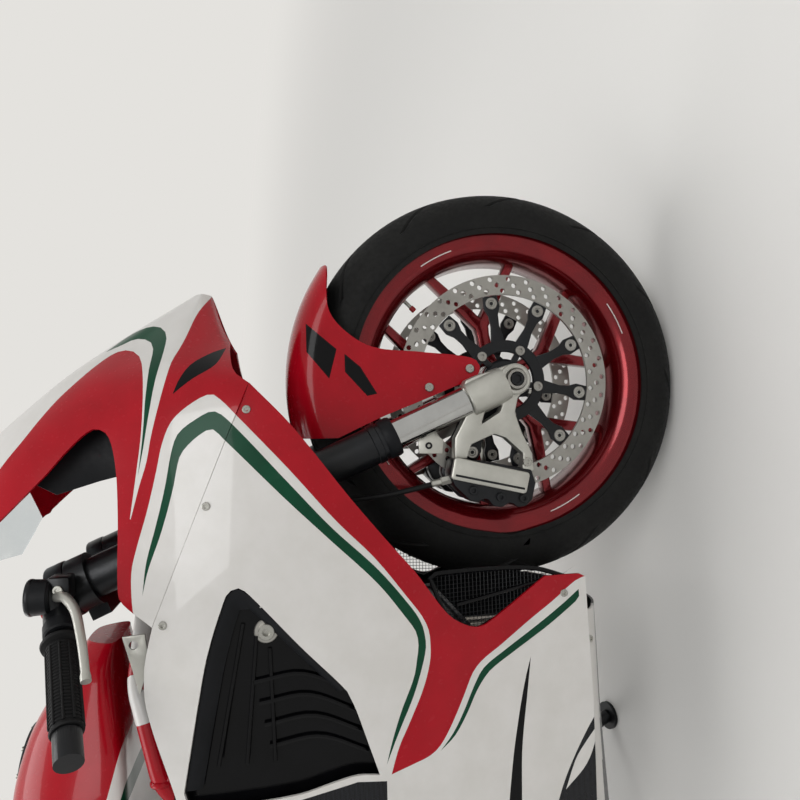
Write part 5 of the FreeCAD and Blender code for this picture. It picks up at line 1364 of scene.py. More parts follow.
@dataclass
class FrontEnd:
    """Brakes, fork, fender and hose of the steered end."""

    foot: tuple = ((-22, 81), (0, 72), (8, 52), (12, 36), (21, 10), (14, -14), (-14, -16),
                   (-27, -5), (-48, 0), (-75, -9), (-107, -24), (-133, -26), (-131, -8),
                   (-107, -10), (-84, 15), (-78, 32), (-92, 66), (-112, 73), (-112, 91), (-82, 90),
                   (-64, 80), (-50, 72))
    window: tuple = ((-63, 50), (-47, 45), (-35, 18), (-46, 22))

    def build_brakes(self) -> None:
        """Drilled discs, and black carriers with their bobbins and bolts."""
        discs = Sculpt("drilled_discs")
        carriers = Sculpt("disc_carrier_set")
        for side in (RIGHT, LEFT):
            out = ACROSS * side
            centre = FRONT_AXLE + out * DISC_SIDE
            drilled_disc(discs, centre, 160, 130.3, 2.5, 34)
            carriers.ring(Palette.ANODISED, centre, 62, 44, 3.0)
            carriers.lathe(Palette.ANODISED, [(15, -9), (33, -9), (33.5, 0), (30, 4), (22, 5),
                                              (20, 9), (15, 9)],
                           centre, out, 40, closed=True)
            for turn in range(10):
                angle = math.radians(8.8 + 36 * turn)
                matrix = Matrix.Translation(FRONT_AXLE) @ Matrix.Rotation(-angle, 4, "Y")
                low, high = span(side, DISC_SIDE - 2.6, DISC_SIDE + 2.6)
                arm = [(56, -11), (84, -6.5), (100, -7.5), (112, -12.5), (129.2, -11), (129.2, 11),
                       (112, 12.5), (100, 7.5), (84, 6.5), (56, 11)]
                carriers.plate(Palette.ANODISED, arm, low, high, 0.8, matrix=matrix)
                spot = matrix @ Vector((118, side * DISC_SIDE, 0))
                carriers.ring(Palette.STEEL, spot, 9.0, 4.6, 4.2, 0.8, 24)
                carriers.ring(Palette.ZINC, spot, 4.8, 2.6, 3.4, 0.5, 16)
                if turn % 2:
                    spoke = [(30, -5), (48, -4), (48, 4), (30, 5)]
                    carriers.plate(Palette.ANODISED, spoke, low, high, 0.8, matrix=matrix)
            carriers.bolt_ring(centre + out * 2.6, out, 51, 5, 7.4, 4.2, Palette.STEEL,
                               math.radians(44))
        discs.emit("front_wheel", ("front_discs",), "steel")
        carriers.emit("front_wheel", ("disc_carriers",), "black_metal")

    def build_feet(self) -> None:
        """Cast fork feet with their clamp rings and pinch screws."""
        feet = Sculpt("fork_foot_castings")
        pins = Sculpt("axle_details")
        for side in (RIGHT, LEFT):
            middle = side * FORK_SIDE
            low, high = middle - 11, middle + 11
            matrix = Matrix.Translation(FRONT_AXLE)
            feet.plate(Palette.CAST, list(self.foot), low, high, 2.6, (list(self.window),), matrix)
            spot = FRONT_AXLE + ACROSS * middle
            feet.ring(Palette.CAST, spot, 22.5, 14.2, 19.8, 2.2, 48)
            cup = [(21.9, 14), (25.4, 14), (26.6, 24), (26.6, 60), (26, 72), (24.4, 74), (21.9, 74)]
            feet.lathe(Palette.CAST, cup, spot, STEER_UP, 40, closed=True)
            for x, z in ((-24, -6), (-24, 8)):
                centre = FRONT_AXLE + Vector((x + 7, middle, z - 4))
                feet.bolt(centre + Vector((0, 0, -14)), Vector((-0.3, 0, -1)), 4.4, 4.0)
            for x, z in ((-120, 82), (-119, -15)):
                feet.bolt(FRONT_AXLE + Vector((x, side * (FORK_SIDE + 11), z)), ACROSS * side, 6.6,
                          5.0)
            pins.lathe(Palette.ANODISED, [(0, 128), (6.4, 128), (6.4, 131), (10.2, 131),
                                          (10.4, 112), (0, 112)],
                       FRONT_AXLE, ACROSS * side, 6)
            pins.lathe(Palette.CANDY, [(15, 61), (31, 61), (32, 63), (32, 66), (15, 66)],
                       FRONT_AXLE, ACROSS * side, 40, closed=True)
            pins.ring(Palette.ANODISED, FRONT_AXLE + ACROSS * side * 126.5, 13.9, 10.6, 3.0, 0.8,
                      40)
        feet.emit("steering", ("fork_feet",), "cast_silver")
        pins.emit("steering", slot="black_metal")

    def build_calipers(self) -> None:
        """Radial calipers: dark body around the disc, silver outer half, pins and fittings."""
        calipers = Sculpt("radial_calipers")
        outline = [(-112, 94), (-134, 99), (-150, 92), (-160, 82), (-172, 70), (-175, 58),
                   (-170, 50), (-171, 44), (-181, 36), (-183, 22), (-177, 14), (-178, 8), (-184, 0),
                   (-183, -12), (-174, -22), (-150, -28), (-130, -22), (-118, 40)]
        face = [(-109, 90), (-112, 93.5), (-136, 98.6), (-140, 96.5), (-164, -7), (-162, -11.5),
                (-138, -17), (-134, -15)]
        groove = [(-132.5, 92), (-135.5, 92.6), (-158.5, -8), (-155.5, -8.6)]
        matrix = Matrix.Translation(FRONT_AXLE)
        for side in (RIGHT, LEFT):
            low, high = span(side, 79, 117)
            calipers.plate(Palette.ANODISED, outline, low, high, 3.0, matrix=matrix)
            low, high = span(side, 40, 61)
            calipers.plate(Palette.ANODISED, outline, low, high, 3.0, matrix=matrix)
            low, high = span(side, 44, 112)
            bridge = [(-163, 66), (-176, 30), (-178, -4), (-168, -4), (-167, 28), (-156, 62)]
            calipers.plate(Palette.ANODISED, bridge, low, high, 1.5, matrix=matrix)
            low, high = span(side, 117, 124)
            calipers.plate(Palette.CAST, face, low, high, 2.2, matrix=matrix)
            low, high = span(side, 123.5, 124.4)
            calipers.plate(Palette.ANODISED, groove, low, high, 0.0, matrix=matrix)
            for x, z in ((-157, 66), (-168, 26), (-171, -8)):
                calipers.bolt(FRONT_AXLE + Vector((x, side * 116.5, z)), ACROSS * side, 6.4, 5.0,
                              Palette.ANODISED)
            for z in (60, 4):
                start = FRONT_AXLE + Vector((-171 if z < 20 else -166, side * 62, z))
                calipers.rod(Palette.STEEL, start, start + ACROSS * side * 46, 3.4, 0.8, 12)
            spot = FRONT_AXLE + Vector((-141, side * 100, 93))
            calipers.rod(Palette.CAST, spot, spot + Vector((-3, 0, 16)), 6.4, 1.2, 6)
            calipers.rod(Palette.CAST, spot + Vector((-3, 0, 14)), spot + Vector((-6, 0, 30)), 5.0,
                         1.0, 16)
            tab = [(-103, 140), (-78, 141), (-72, 122), (-84, 104), (-104, 106)]
            low, high = span(side, 100, 104)
            calipers.plate(Palette.CAST, tab, low, high, 1.0, matrix=matrix)
            hole = FRONT_AXLE + Vector((-92, side * 104.5, 126))
            calipers.ring(Palette.ANODISED, hole, 5.0, 2.4, 2.8, 0.6, 20)
        calipers.emit("steering", ("front_calipers",), "cast_silver")

    def build_fork(self) -> None:
        """Seals, rings and caps of the fork tubes, whose bodies stay the frame's own."""
        details = Sculpt("fork_seals_and_caps")
        for side in (RIGHT, LEFT):
            base = steer_point(FORK_OFFSET, side * FORK_SIDE, 0)
            details.lathe(Palette.NYLON, [(21.8, 190), (27.6, 190), (29, 194), (29, 206),
                                          (27.3, 209), (21.8, 209)],
                          base, STEER_UP, 40, closed=True)
            details.lathe(Palette.ANODISED, [(27.1, 214), (28.6, 215), (28.6, 224), (27.1, 225)],
                          base, STEER_UP, 40, closed=True)
            details.lathe(Palette.ANODISED, [(0, 683), (24, 683), (24, 687), (12, 688), (12, 693),
                                             (0, 693)], base,
                          STEER_UP, 6)
            details.lathe(Palette.SIGNAL, [(0, 693), (7, 693), (6, 697), (0, 697)], base, STEER_UP,
                          20)
        cap = steer_point(0, 0, 656)
        details.lathe(Palette.ZINC, [(0, 0), (17, 0), (17, 8), (11, 10), (0, 10)], cap, STEER_UP, 6)
        details.emit("steering", slot="black_metal")

    def build_fender(self) -> None:
        """Front fender: crowned arch with two legs, black louvres and screws."""
        fender = Sculpt("fender_shell")
        side = smoothed([(-78, 252, None), (-50, 190), (-25, 125), (6, 47, None), (20, 41),
                         (34, 52), (44, 128), (52, 200), (76, 240), (108, 263), (176, 264, None),
                         (184, 300, None), (120, 340, None), (-78, 340, None)], 9, True)
        louvres = [
            [(5.6, 565), (43.6, 596), (82.8, 596), (46.8, 554)],
            [(-19.6, 512), (15.1, 543), (40.4, 543), (21.5, 521), (-16.5, 498)],
        ]

        def place(u: float, v: float) -> Vector:
            angle = math.radians(-28 + 82 * u)
            crown = 322 + 3 * math.sin(u * math.pi)
            share = abs(2 * v - 1)
            sign = -1 if v < 0.5 else 1
            if share > 0.5:
                drop = (share - 0.5) * 2
                height = crown - 44 - drop * 250
                wide = FENDER_HALF - 2.0 * (1 - drop) ** 2
                spot_x = height * math.sin(angle) * (1 - drop) + drop * (-20 + 60 * u)
                spot_z = height * math.cos(angle) * (1 - drop) + drop * 30
                return FRONT_AXLE + Vector((spot_x, sign * wide, spot_z))
            t = share * 2
            wide = FENDER_HALF * math.sin(t * math.pi / 2) ** 0.9
            height = crown - 44 * (1 - math.cos(t * math.pi / 2)) ** 1.25
            return FRONT_AXLE + Vector((height * math.sin(angle), sign * wide,
                                        height * math.cos(angle)))

        part = bmesh.new()
        bmesh.ops.create_grid(part, x_segments=44, y_segments=48, size=0.5)
        for vert in part.verts:
            vert.co = place(vert.co.x + 0.5, (vert.co.y + 0.5) / 2)
        low = FRONT_AXLE.z
        lift = [Vector((point[0], point[1] + low)) for point in side]
        marks = [Mark(Palette.GLOSS_BLACK, [Vector(point) for point in loop],
                      -FORK_SIDE) for loop in louvres]
        panel = Panel(lift, Palette.RED, marks)
        panel.cut(part)
        panel.paint(part, fender)
        part = welded(part)
        panel.thicken(part, fender, lambda centre: centre - FRONT_AXLE)
        fender.absorb(part)
        for hand in (RIGHT, LEFT):
            for x, z in ((-8, 419), (18.5, 357.5)):
                fender.bolt(Vector((x, hand * 84.5, z)), ACROSS * hand, 6.4, 3.2)
        fender.emit("steering", ("front_fender",), "red_paint")

    def build_hose(self) -> None:
        """The brake hose, held at both ends, along the CAD's own route."""
        points = [(-141, -100, 395.2), (-150, -100, 430), (-164, -94, 500), (-170, -78, 590),
                  (-176, -60, 672)]
        curve = bpy.data.curves.new("brake_hose_line", "CURVE")
        curve.dimensions = "3D"
        curve.bevel_depth = 0.004
        curve.bevel_resolution = 4
        curve.use_fill_caps = True
        spline = curve.splines.new("NURBS")
        spline.points.add(len(points) - 1)
        for control, point in zip(spline.points, points):
            control.co = (*(TO_ROW @ Vector(point)), 1.0)
        spline.order_u = 3
        spline.use_endpoint_u = True
        spline.resolution_u = 12
        hose = bpy.data.objects.new("brake_hose_line", curve)
        bpy.context.scene.collection.objects.link(hose)
        curve.materials.append(Palette.material(Palette.GRIP))
        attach(hose, "steering")
        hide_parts("brake_hose")

    def build(self) -> None:
        """Builds the steered end."""
        self.build_brakes()
        self.build_feet()
        self.build_calipers()
        self.build_fork()
        self.build_fender()
        self.build_hose()


@dataclass
class Cockpit:
    """Grips, levers, switches, fluid pot, yokes' screws and the dash."""

    root: tuple = (-248, -105, 925)
    end: tuple = (-394, -330, 852)

    def build_grips(self) -> None:
        """Ribbed grips with flanges, and slotted bar weights."""
        grips = Sculpt("ribbed_grips")
        weights = Sculpt("bar_weights")
        for side in (RIGHT, LEFT):
            start, stop = mirrored(self.root, side), mirrored(self.end, side)
            way = (stop - start).normalized()
            profile = [(11.4, 116), (22.5, 116), (23.5, 118), (22.5, 121), (17, 123)]
            height = 126.0
            while height < 236:
                profile += [(17.0, height), (17.6, height + 0.8), (17.6, height + 2.6),
                            (16.6, height + 3.2)]
                height += 4.6
            profile += [(17.6, 238), (18, 240), (17, 242), (11.4, 242)]
            grips.lathe(Palette.GRIP, profile, start, way, 40, closed=True)
            for index in range(10):
                turn = math.tau * index / 10
                across = way.orthogonal().normalized()
                other = way.cross(across)
                spot = start + (across * math.cos(turn) + other * math.sin(turn)) * 17.4
                grips.rod(Palette.GRIP, spot + way * 128, spot + way * 236, 1.5, 0.4, 8)
            length = (stop - start).length
            weights.lathe(Palette.ANODISED, [(0, 243), (14.6, 243), (15, 244), (15, length - 14),
                                             (12.4, length - 12), (12.4, length - 9),
                                             (14.6, length - 8), (14, length - 1), (6, length - 1),
                                             (5, length - 5), (0, length - 5)], start, way, 36)
        grips.emit("steering", ("grips",), "rubber")
        weights.emit("steering", slot="black_metal")

    def build_controls(self) -> None:
        """Perches, levers, switch boxes, and the fluid pot on the right."""
        controls = Sculpt("levers_and_switches")
        for side in (RIGHT, LEFT):
            start, stop = mirrored(self.root, side), mirrored(self.end, side)
            way = (stop - start).normalized()
            ahead = STEER_FORWARD
            perch = start + way * 80
            controls.lathe(Palette.ANODISED, [(11.3, -13), (18, -13), (19, -12), (19, 12), (18, 13),
                                              (11.3, 13)],
                           perch, way, 32, closed=True)
            body = [perch + ahead * 14 - way * 4, perch + ahead * 30, perch + ahead * 46 + way * 4,
                    perch + ahead * 52 + way * 12]
            controls.tube(Palette.ANODISED, body, lambda t: 11 - 3 * t, 16)
            down = Vector((0, 0, -1))
            lever = [perch + ahead * 34 + down * 8 + way * 2,
                     perch + ahead * 44 + down * 22 + way * 16,
                     perch + ahead * 48 + down * 34 + way * 44,
                     perch + ahead * 48 + down * 38 + way * 84,
                     perch + ahead * 44 + down * 38 + way * 118,
                     perch + ahead * 38 + down * 36 + way * 140]
            line = smoothed([tuple(point) for point in lever], 6)
            controls.tube(Palette.CAST, line, lambda t: 6.4 - 1.8 * t + (1.2 if t > 0.94 else 0),
                          14)
            block = Matrix.Translation(perch + ahead * 34 + down * 16 - way * 14)
            controls.box(Palette.ANODISED, (-15, -15, -13), (15, 15, 13), 3.0, block)
            controls.bolt(perch + ahead * 34 + down * 16 - way * 14 + ACROSS * side * 15,
                          ACROSS * side, 6.0, 3.0, Palette.ZINC)
            pivot = perch + ahead * 42 + way * 8
            controls.bolt(pivot + Vector((0, 0, 8)), Vector((0, 0, 1)), 6.5, 4, Palette.ZINC)
            pinch = perch - ahead * 17
            controls.bolt(pinch, -ahead, 4.4, 4, Palette.ZINC)
            inner = start + way * 96
            frame_up = way.cross(ahead).normalized()
            if frame_up.z < 0:
                frame_up.negate()
            turn = Matrix((ahead, way, frame_up)).transposed().to_4x4()
            box_at = Matrix.Translation(start + way * 46) @ turn
            controls.box(Palette.NYLON, (-20, -15, -20), (20, 14, 21), 5.0, box_at)
            controls.box(Palette.SIGNAL, (-8, -6, 20), (6, 5, 25), 1.6, box_at)
            controls.box(Palette.NYLON, (-21.5, -9, -12), (-19, 9, -2), 0.9, box_at)
            controls.box(Palette.NYLON, (-21.5, -9, 2), (-19, 9, 12), 0.9, box_at)
            controls.ring(Palette.NYLON, inner, 20, 11.4, 9, 2.0, 36, way)
            if side == RIGHT:
                pot = perch + ahead * 32 - way * 2 - Vector((0, 0, 4))
                controls.tube(Palette.ANODISED, [perch + ahead * 22, pot + Vector((0, 0, 6))], 7.5,
                              16)
                profile = [(0, 0), (18, 0), (21, 3), (22, 21), (0, 21)]
                controls.lathe(Palette.NYLON, profile, pot, Vector((0, 0, 1)), 40)
                cap = [(0, 21), (22, 21), (22.6, 22), (22.6, 25), (21.4, 27), (11, 27), (10, 26),
                       (0, 26)]
                controls.lathe(Palette.ANODISED, cap, pot, Vector((0, 0, 1)), 40)
                for turn_index in range(3):
                    angle = math.tau * turn_index / 3 + 0.5
                    spot = pot + Vector((math.cos(angle) * 15.5, math.sin(angle) * 15.5, 26.6))
                    controls.bolt(spot, Vector((0, 0, 1)), 2.6, 1.2)
        controls.emit("steering", ("hand_controls",), "black_metal")
        clamps = Sculpt("bar_clamp_screws")
        for side in (RIGHT, LEFT):
            for up in (666, 676):
                base = steer_point(FORK_OFFSET - 33, side * (FORK_SIDE - 12), up - 4)
                clamps.bolt(base, -STEER_FORWARD, 4.6, 4.5)
            top = steer_point(FORK_OFFSET, side * FORK_SIDE, 0)
            clamps.lathe(Palette.ANODISED, [(27.3, 657), (37, 657), (37.5, 659), (37.5, 679),
                                            (36.5, 681), (27.3, 681)], top, STEER_UP, 40,
                         closed=True)
        clamps.emit("steering", slot="black_metal")

    def build_dash(self) -> None:
        """Blank display in its housing, and the dark shroud inside the nose."""
        dash = Sculpt("dash_display")
        tilt = Matrix.Translation((-101, 0, 908)) @ Matrix.Rotation(math.radians(-20), 4, "Y")
        dash.box(Palette.NYLON, (-11, -66, -32), (11, 66, 32), 6.0, tilt)
        dash.box(Palette.GLOSS_BLACK, (-12.4, -58, -25), (-10.6, 58, 25), 1.0, tilt)
        for y in (-34, -20, 20, 34):
            dash.box(Palette.NYLON, (-12.8, y - 4, -30), (-10.8, y + 4, -27), 0.7, tilt)
        dash.emit("chassis", ("dash",), "black_plastic")
        shroud = Sculpt("nose_shroud")
        loop = [(-40, 760), (-36, 880), (-56, 900), (-120, 966), (-142, 926), (-126, 872),
                (-120, 846), (-230, 828), (-230, 812), (-120, 806), (-80, 770)]
        for side in (RIGHT, LEFT):
            low, high = span(side, 96, 100)
            shroud.plate(Palette.NYLON, loop, low, high, 1.2)
        shroud.emit("chassis", slot="black_plastic")

    def build_lamp(self) -> None:
        """Narrow twin lamps between the nose's jaws."""
        lamp = Sculpt("lamp_unit")
        for side in (RIGHT, LEFT):
            low, high = span(side, 8, 44)
            lamp.box(Palette.NYLON, (20, low, 727), (66, high, 765), 3.0)
            centre = Vector((66, side * 26, 746))
            lamp.lathe(Palette.CHROME, [(15, 0), (16, 1), (9, -14), (0, -18), (0, -19),
                                        (10, -15.4)], centre,
                       Vector((1, 0, 0)), 32)
            lamp.lathe(Palette.LENS, [(0, 5), (8, 4), (14, 2), (16, 0), (0, 0)], centre,
                       Vector((1, 0, 0)), 32)
        lamp.emit("chassis", ("headlight",), "lamp_lens")

    def build(self) -> None:
        """Builds the cockpit."""
        self.build_grips()
        self.build_controls()
        self.build_dash()
        self.build_lamp()


@dataclass
class Chassis:
    """Dressed frame tubes, engine, radiator, tank, seats and tail."""

    upper: tuple = ((-268, -22, 822), (-385, -138, 820), (-500, -158, 788), (-694, -134, 632))

    def build_bands(self) -> None:
        """White bands on the red frame tube, brackets and weld beads at its joints."""
        bands = Sculpt("frame_tube_bands")
        route = filleted(list(self.upper), 60, 10)
        lengths = [0.0]
        for before, after in zip(route, route[1:]):
            lengths.append(lengths[-1] + (after - before).length)

        def at(x: float) -> Vector:
            for before, after in zip(route, route[1:]):
                if after.x <= x <= before.x:
                    return before.lerp(after, (before.x - x) / max(before.x - after.x, 0.001))
            return route[-1]

        for high, low in ((-309, -357), (-378, -429), (-560, -600)):
            for side in (RIGHT, LEFT):
                spots = [at(high - (high - low) * index / 24) for index in range(25)]
                line = [Vector((p.x, abs(p.y) * side, p.z)) for p in spots]
                bands.tube(Palette.WHITE, line, 14.5, 28)
        for side in (RIGHT, LEFT):
            for x, y, z in ((-440, 158, 574), (-500, 158, 788), (-560, 160, 590)):
                centre = Vector((x, side * y, z))
                bands.lathe(Palette.RED, [(14.2, -3.5), (15.8, -1.5), (15.8, 1.5), (14.2, 3.5)],
                            centre, Vector((1, 0, 0.1)), 24, closed=True)
            bracket = [(-394, 815), (-350, 827), (-319, 836), (-317, 808), (-350, 803)]
            low, high = span(side, 150, 153)
            bands.plate(Palette.CAST, bracket, low, high, 0.8, (round_outline(-330, 822, 5.5, 16),))
        bands.emit("chassis", slot="red_paint")

    def build_engine(self) -> None:
        """Engine castings around the plain block's volume: cases, cylinders, covers and screws."""
        engine = Sculpt("engine_castings")
        engine.box(Palette.POWDER, (-682, -118, 222), (-440, 118, 400), 14)
        engine.box(Palette.POWDER, (-600, -120, 396), (-436, 120, 520), 8)
        engine.box(Palette.POWDER, (-612, -128, 516), (-434, 128, 560), 10)
        for index in range(7):
            z = 412 + index * 14
            engine.box(Palette.POWDER, (-606, -126, z), (-433, 126, z + 3.4), 1.0)
        for side in (RIGHT, LEFT):
            out = ACROSS * side
            for x, z, radius, reach in ((-600, 320, 82, 140), (-500, 300, 56, 134),
                                        (-640, 390, 34, 128)):
                start = Vector((x, side * 112, z))
                engine.lathe(Palette.POWDER, [(0, 0), (radius, 0), (radius, reach - 122),
                                              (radius - 6, reach - 113), (radius - 26, reach - 110),
                                              (0, reach - 110)], start, out, 56)
                count = 8 if radius > 40 else 5
                engine.bolt_ring(Vector((x, side * (reach - 12), z)), out, radius - 5, count, 4.2,
                                 7.0)
        for y in (-70, 0, 70):
            engine.lathe(Palette.POWDER, [(19, 0), (27, 0), (28, 3), (28, 8), (19, 8)],
                         Vector((-436, y, 470)), Vector((1, 0, 0)), 32, closed=True)
        engine.emit("chassis", ("engine",), "engine_metal")

    def build_tank(self) -> None:
        """Fuel tank with its crown, red flanks, white panel and filler."""
        tank = Sculpt("tank_shell")
        stations = [
            (-352, [(0, 908), (34, 904), (52, 886), (56, 868), (30, 862), (0, 862)]),
            (-380, [(0, 930), (50, 924), (78, 900), (84, 872), (50, 858), (0, 856)]),
            (-410, [(0, 948), (58, 940), (92, 908), (100, 868), (60, 852), (0, 850)]),
            (-480, [(0, 985), (78, 972), (122, 920), (132, 850), (80, 842), (0, 842)]),
            (-570, [(0, 1003), (88, 988), (140, 930), (146, 840), (90, 832), (0, 832)]),
            (-670, [(0, 985), (82, 968), (132, 905), (128, 802), (80, 792), (0, 792)]),
            (-740, [(0, 930), (70, 914), (106, 866), (104, 793), (60, 784), (0, 784)]),
            (-762, [(0, 911), (64, 896), (99, 854), (99, 791), (60, 782), (0, 782)]),
            (-769, [(0, 892), (50, 880), (84, 846), (86, 800), (54, 790), (0, 790)]),
        ]
        tank.loft(Palette.RED, [self.section(x, half) for x, half in stations], 56, 44)
        self.stripe(tank, [(-340, 790), (-440, 836), (-520, 858), (-640, 894), (-800, 930)], 17, 9,
                    740)
        cap = Vector((-520, 0, 988))
        tilt = Vector((0.16, 0, 1))
        tank.lathe(Palette.ANODISED, [(0, 0), (46, 0), (48, 3), (46, 7), (30, 9), (28, 7), (0, 7)],
                   cap, tilt, 56)
        for turn in range(7):
            angle = math.tau * turn / 7
            spot = cap + Vector((math.cos(angle) * 39, math.sin(angle) * 39,
                                 8 - math.cos(angle) * 6))
            tank.bolt(spot, tilt, 3.4, 2.2)
        tank.box(Palette.NYLON, (-546, -11, 992), (-524, 11, 1001), 2.0)
        tank.emit("chassis", ("fuel_tank",), "red_paint")

    def section(self, x: float, half: list) -> list:
        """A closed section across the bike from the top centre down one side and up the other."""
        right = [(x, -y, z) for y, z in half]
        left = [(x, y, z) for y, z in half[-2:0:-1]]
        return right + left

    def stripe(self, piece: Sculpt, edge: list, gap: float, wide: float, floor: float) -> None:
        """Paints a piece white below a line, with a green stripe a little lower, and cuts both in.

        Args:
            piece: The piece, already closed.
            edge: Side points (x, z) of the white's upper edge, front to rear.
            gap: White left above the stripe.
            wide: The stripe's width.
            floor: A height below the piece.
        """
        line = smoothed(edge, 14)
        white = line + [Vector((edge[-1][0], floor)), Vector((edge[0][0], floor))]
        green = [Vector((p.x, p.y - gap)) for p in line]
        green += [Vector((p.x, p.y - gap - wide)) for p in line[::-1]]
        for loop in (white, green):
            carve(piece.mesh, loop)
        shades = ((piece.slot(Palette.WHITE), white), (piece.slot(Palette.GREEN), green))
        for face in piece.mesh.faces:
            centre = face.calc_center_median()
            for shade, loop in shades:
                if inside(loop, centre.x, centre.z):
                    face.material_index = shade

    def build_seats(self) -> None:
        """Rider's and pillion's cushions with seams and stitched edges."""
        rider = [
            (-772, [(0, 810), (66, 806), (90, 792), (82, 778), (40, 776), (0, 776)]),
            (-820, [(0, 806), (86, 803), (114, 788), (100, 768), (50, 768), (0, 768)]),
            (-880, [(0, 803), (100, 800), (129, 780), (110, 762), (55, 762), (0, 762)]),
            (-1000, [(0, 818), (116, 816), (139, 795), (120, 778), (60, 778), (0, 778)]),
            (-1060, [(0, 842), (112, 838), (134, 812), (114, 792), (60, 794), (0, 796)]),
            (-1094, [(0, 866), (102, 858), (122, 828), (104, 804), (50, 812), (0, 815)]),
        ]
        pillion = [
            (-1152, [(0, 932), (80, 926), (90, 912), (84, 896), (40, 899), (0, 899)]),
            (-1200, [(0, 948), (86, 944), (96, 926), (88, 908), (44, 908), (0, 909)]),
            (-1270, [(0, 962), (88, 956), (96, 936), (86, 916), (44, 918), (0, 919)]),
            (-1340, [(0, 969), (86, 962), (92, 944), (84, 924), (40, 928), (0, 930)]),
            (-1398, [(0, 970), (76, 963), (82, 948), (75, 931), (36, 937), (0, 938)]),
        ]
        for name, stations, node in (("rider_cushion", rider, "seat_rider"),
                                     ("pillion_cushion", pillion, "seat_pillion")):
            seat = Sculpt(name)
            first, last = stations[0][0], stations[-1][0]
            sections = []
            for x, half in stations:
                middle = (half[0][1] + half[-1][1]) / 2
                near = first - 6 if x == first else last + 6 if x == last else x
                slim = [(wide * 0.965, middle + (height - middle) * 0.92) for wide, height in half]
                sections.append(self.section(near, slim))
            seat.loft(Palette.HIDE, sections, 56, 48)
            puffed(seat, 5.5)
            seat.mesh.normal_update()
            for vert in seat.mesh.verts:
                if vert.normal.z > 0.3:
                    wave = math.cos(vert.co.x / 34 * math.tau)
                    edge = max(0.0, 1 - abs(vert.co.y) / 92)
                    vert.co.z -= 1.8 * max(0.0, wave - 0.55) / 0.45 * min(1.0, edge * 3)
            skin = BVHTree.FromBMesh(seat.mesh)
            for side in (RIGHT, LEFT):
                seam = []
                for index in range(33):
                    x = first - 14 + (last - first + 28) * index / 32
                    wide = eased([-spot for spot, half in stations],
                                 [half[2][0] for spot, half in stations], -x)
                    hit = skin.ray_cast(Vector((x, side * wide * 0.8, 1200)), Vector((0, 0, -1)))[0]
                    if hit:
                        seam.append(hit + Vector((0, 0, 0.5)))
                seat.tube(Palette.HIDE, seam, 1.5, 8)
            piece = seat.emit("chassis", (node,), "seat_cover")

    def build_tail(self) -> None:
        """Tail cowl with its livery, and the lamp in its tip."""
        tail = Sculpt("tail_shell")
        stations = [
            (-1097, [(0, 874), (100, 866), (128, 838), (100, 800), (50, 810), (0, 815)]),
            (-1150, [(0, 896), (104, 888), (129, 855), (100, 812), (50, 818), (0, 820)]),
            (-1200, [(0, 916), (104, 906), (126, 872), (96, 826), (48, 826), (0, 826)]),
            (-1300, [(0, 929), (99, 919), (118, 886), (87, 844), (44, 844), (0, 844)]),
            (-1400, [(0, 936), (92, 926), (108, 896), (78, 862), (40, 862), (0, 862)]),
            (-1600, [(0, 940), (60, 932), (72, 912), (50, 886), (26, 886), (0, 886)]),
            (-1700, [(0, 935), (38, 930), (46, 916), (34, 899), (16, 898), (0, 897)]),
            (-1744, [(0, 930), (26, 926), (32, 918), (24, 906), (12, 904), (0, 904)]),
        ]
        tail.loft(Palette.RED, [self.section(x, half) for x, half in stations], 64, 72)
        self.stripe(tail, [(-1090, 850), (-1200, 868), (-1400, 895), (-1600, 912), (-1750, 922)], 9,
                    6, 760)
        for side in (RIGHT, LEFT):
            for x, wide, height in ((-1180, 126.5, 866), (-1360, 111.5, 893), (-1520, 85.5, 907)):
                tail.bolt(Vector((x, side * wide, height)), Vector((0, side, 0.1)), 5.0, 2.4)
        tail.emit("chassis", ("tail_cowl",), "red_paint")
        lamp = Sculpt("tail_lamp_lens")
        lamp.box(Palette.NYLON, (-1752, -30, 909), (-1745.5, 30, 925), 1.6)
        lamp.box(Palette.RED_LENS, (-1756.6, -28, 910.5), (-1751, 28, 923.5), 2.0)
        for index in range(9):
            y = -24 + 6 * index
            lamp.lathe(Palette.CHROME, [(2.2, 0), (2.4, 1), (0, -1.6)], Vector((-1752.4, y, 917)),
                       Vector((-1, 0, 0)), 12)
        lamp.emit("chassis", ("tail_light",), "red_lens")

    def build_belly(self) -> None:
        """Belly pan under the engine."""
        pan = Sculpt("belly_shell")
        stations = [
            (-330, [(142.6, 220), (134, 204), (112, 189), (70, 173), (0, 171)]),
            (-400, [(144.2, 220), (137, 203.5), (115, 188.5), (73, 171.5), (0, 169.5)]),
            (-480, [(146.0, 220), (140, 203), (118, 188), (76, 170), (0, 168)]),
            (-655, [(144.2, 220), (136, 200), (114, 178), (76, 158), (0, 156)]),
        ]
        knots = [x for x, half in stations][::-1]
        lines = [
            [Vector((x, -y, z)) for y, z in half] + [Vector((x, y, z)) for y, z in half[-2::-1]]
            for x, half in stations
        ][::-1]
        part = bmesh.new()
        bmesh.ops.create_grid(part, x_segments=28, y_segments=44, size=0.5)
        for vert in part.verts:
            x = -655 + (vert.co.x + 0.5) * 325
            share = (vert.co.y + 0.5) * 8
            spots = [eased(list(range(9)), line, share) for line in lines]
            vert.co = eased(knots, spots, x)
        cover = Panel([Vector((-700, 0)), Vector((-300, 0)), Vector((-300, 300)),
                       Vector((-700, 300))], Palette.WHITE)
        cover.paint(part, pan)
        for face in part.faces:
            if face.calc_center_median().z < 186:
                face.material_index = pan.slot(Palette.CARBON)
        cover.thicken(part, pan, lambda centre: centre - Vector((-480, 0, 260)))
        pan.absorb(part)
        for side in (RIGHT, LEFT):
            for x in (-370, -620):
                pan.bolt(Vector((x, side * 140.5, 208)), Vector((0, side, -0.3)), 4.8, 2.2)
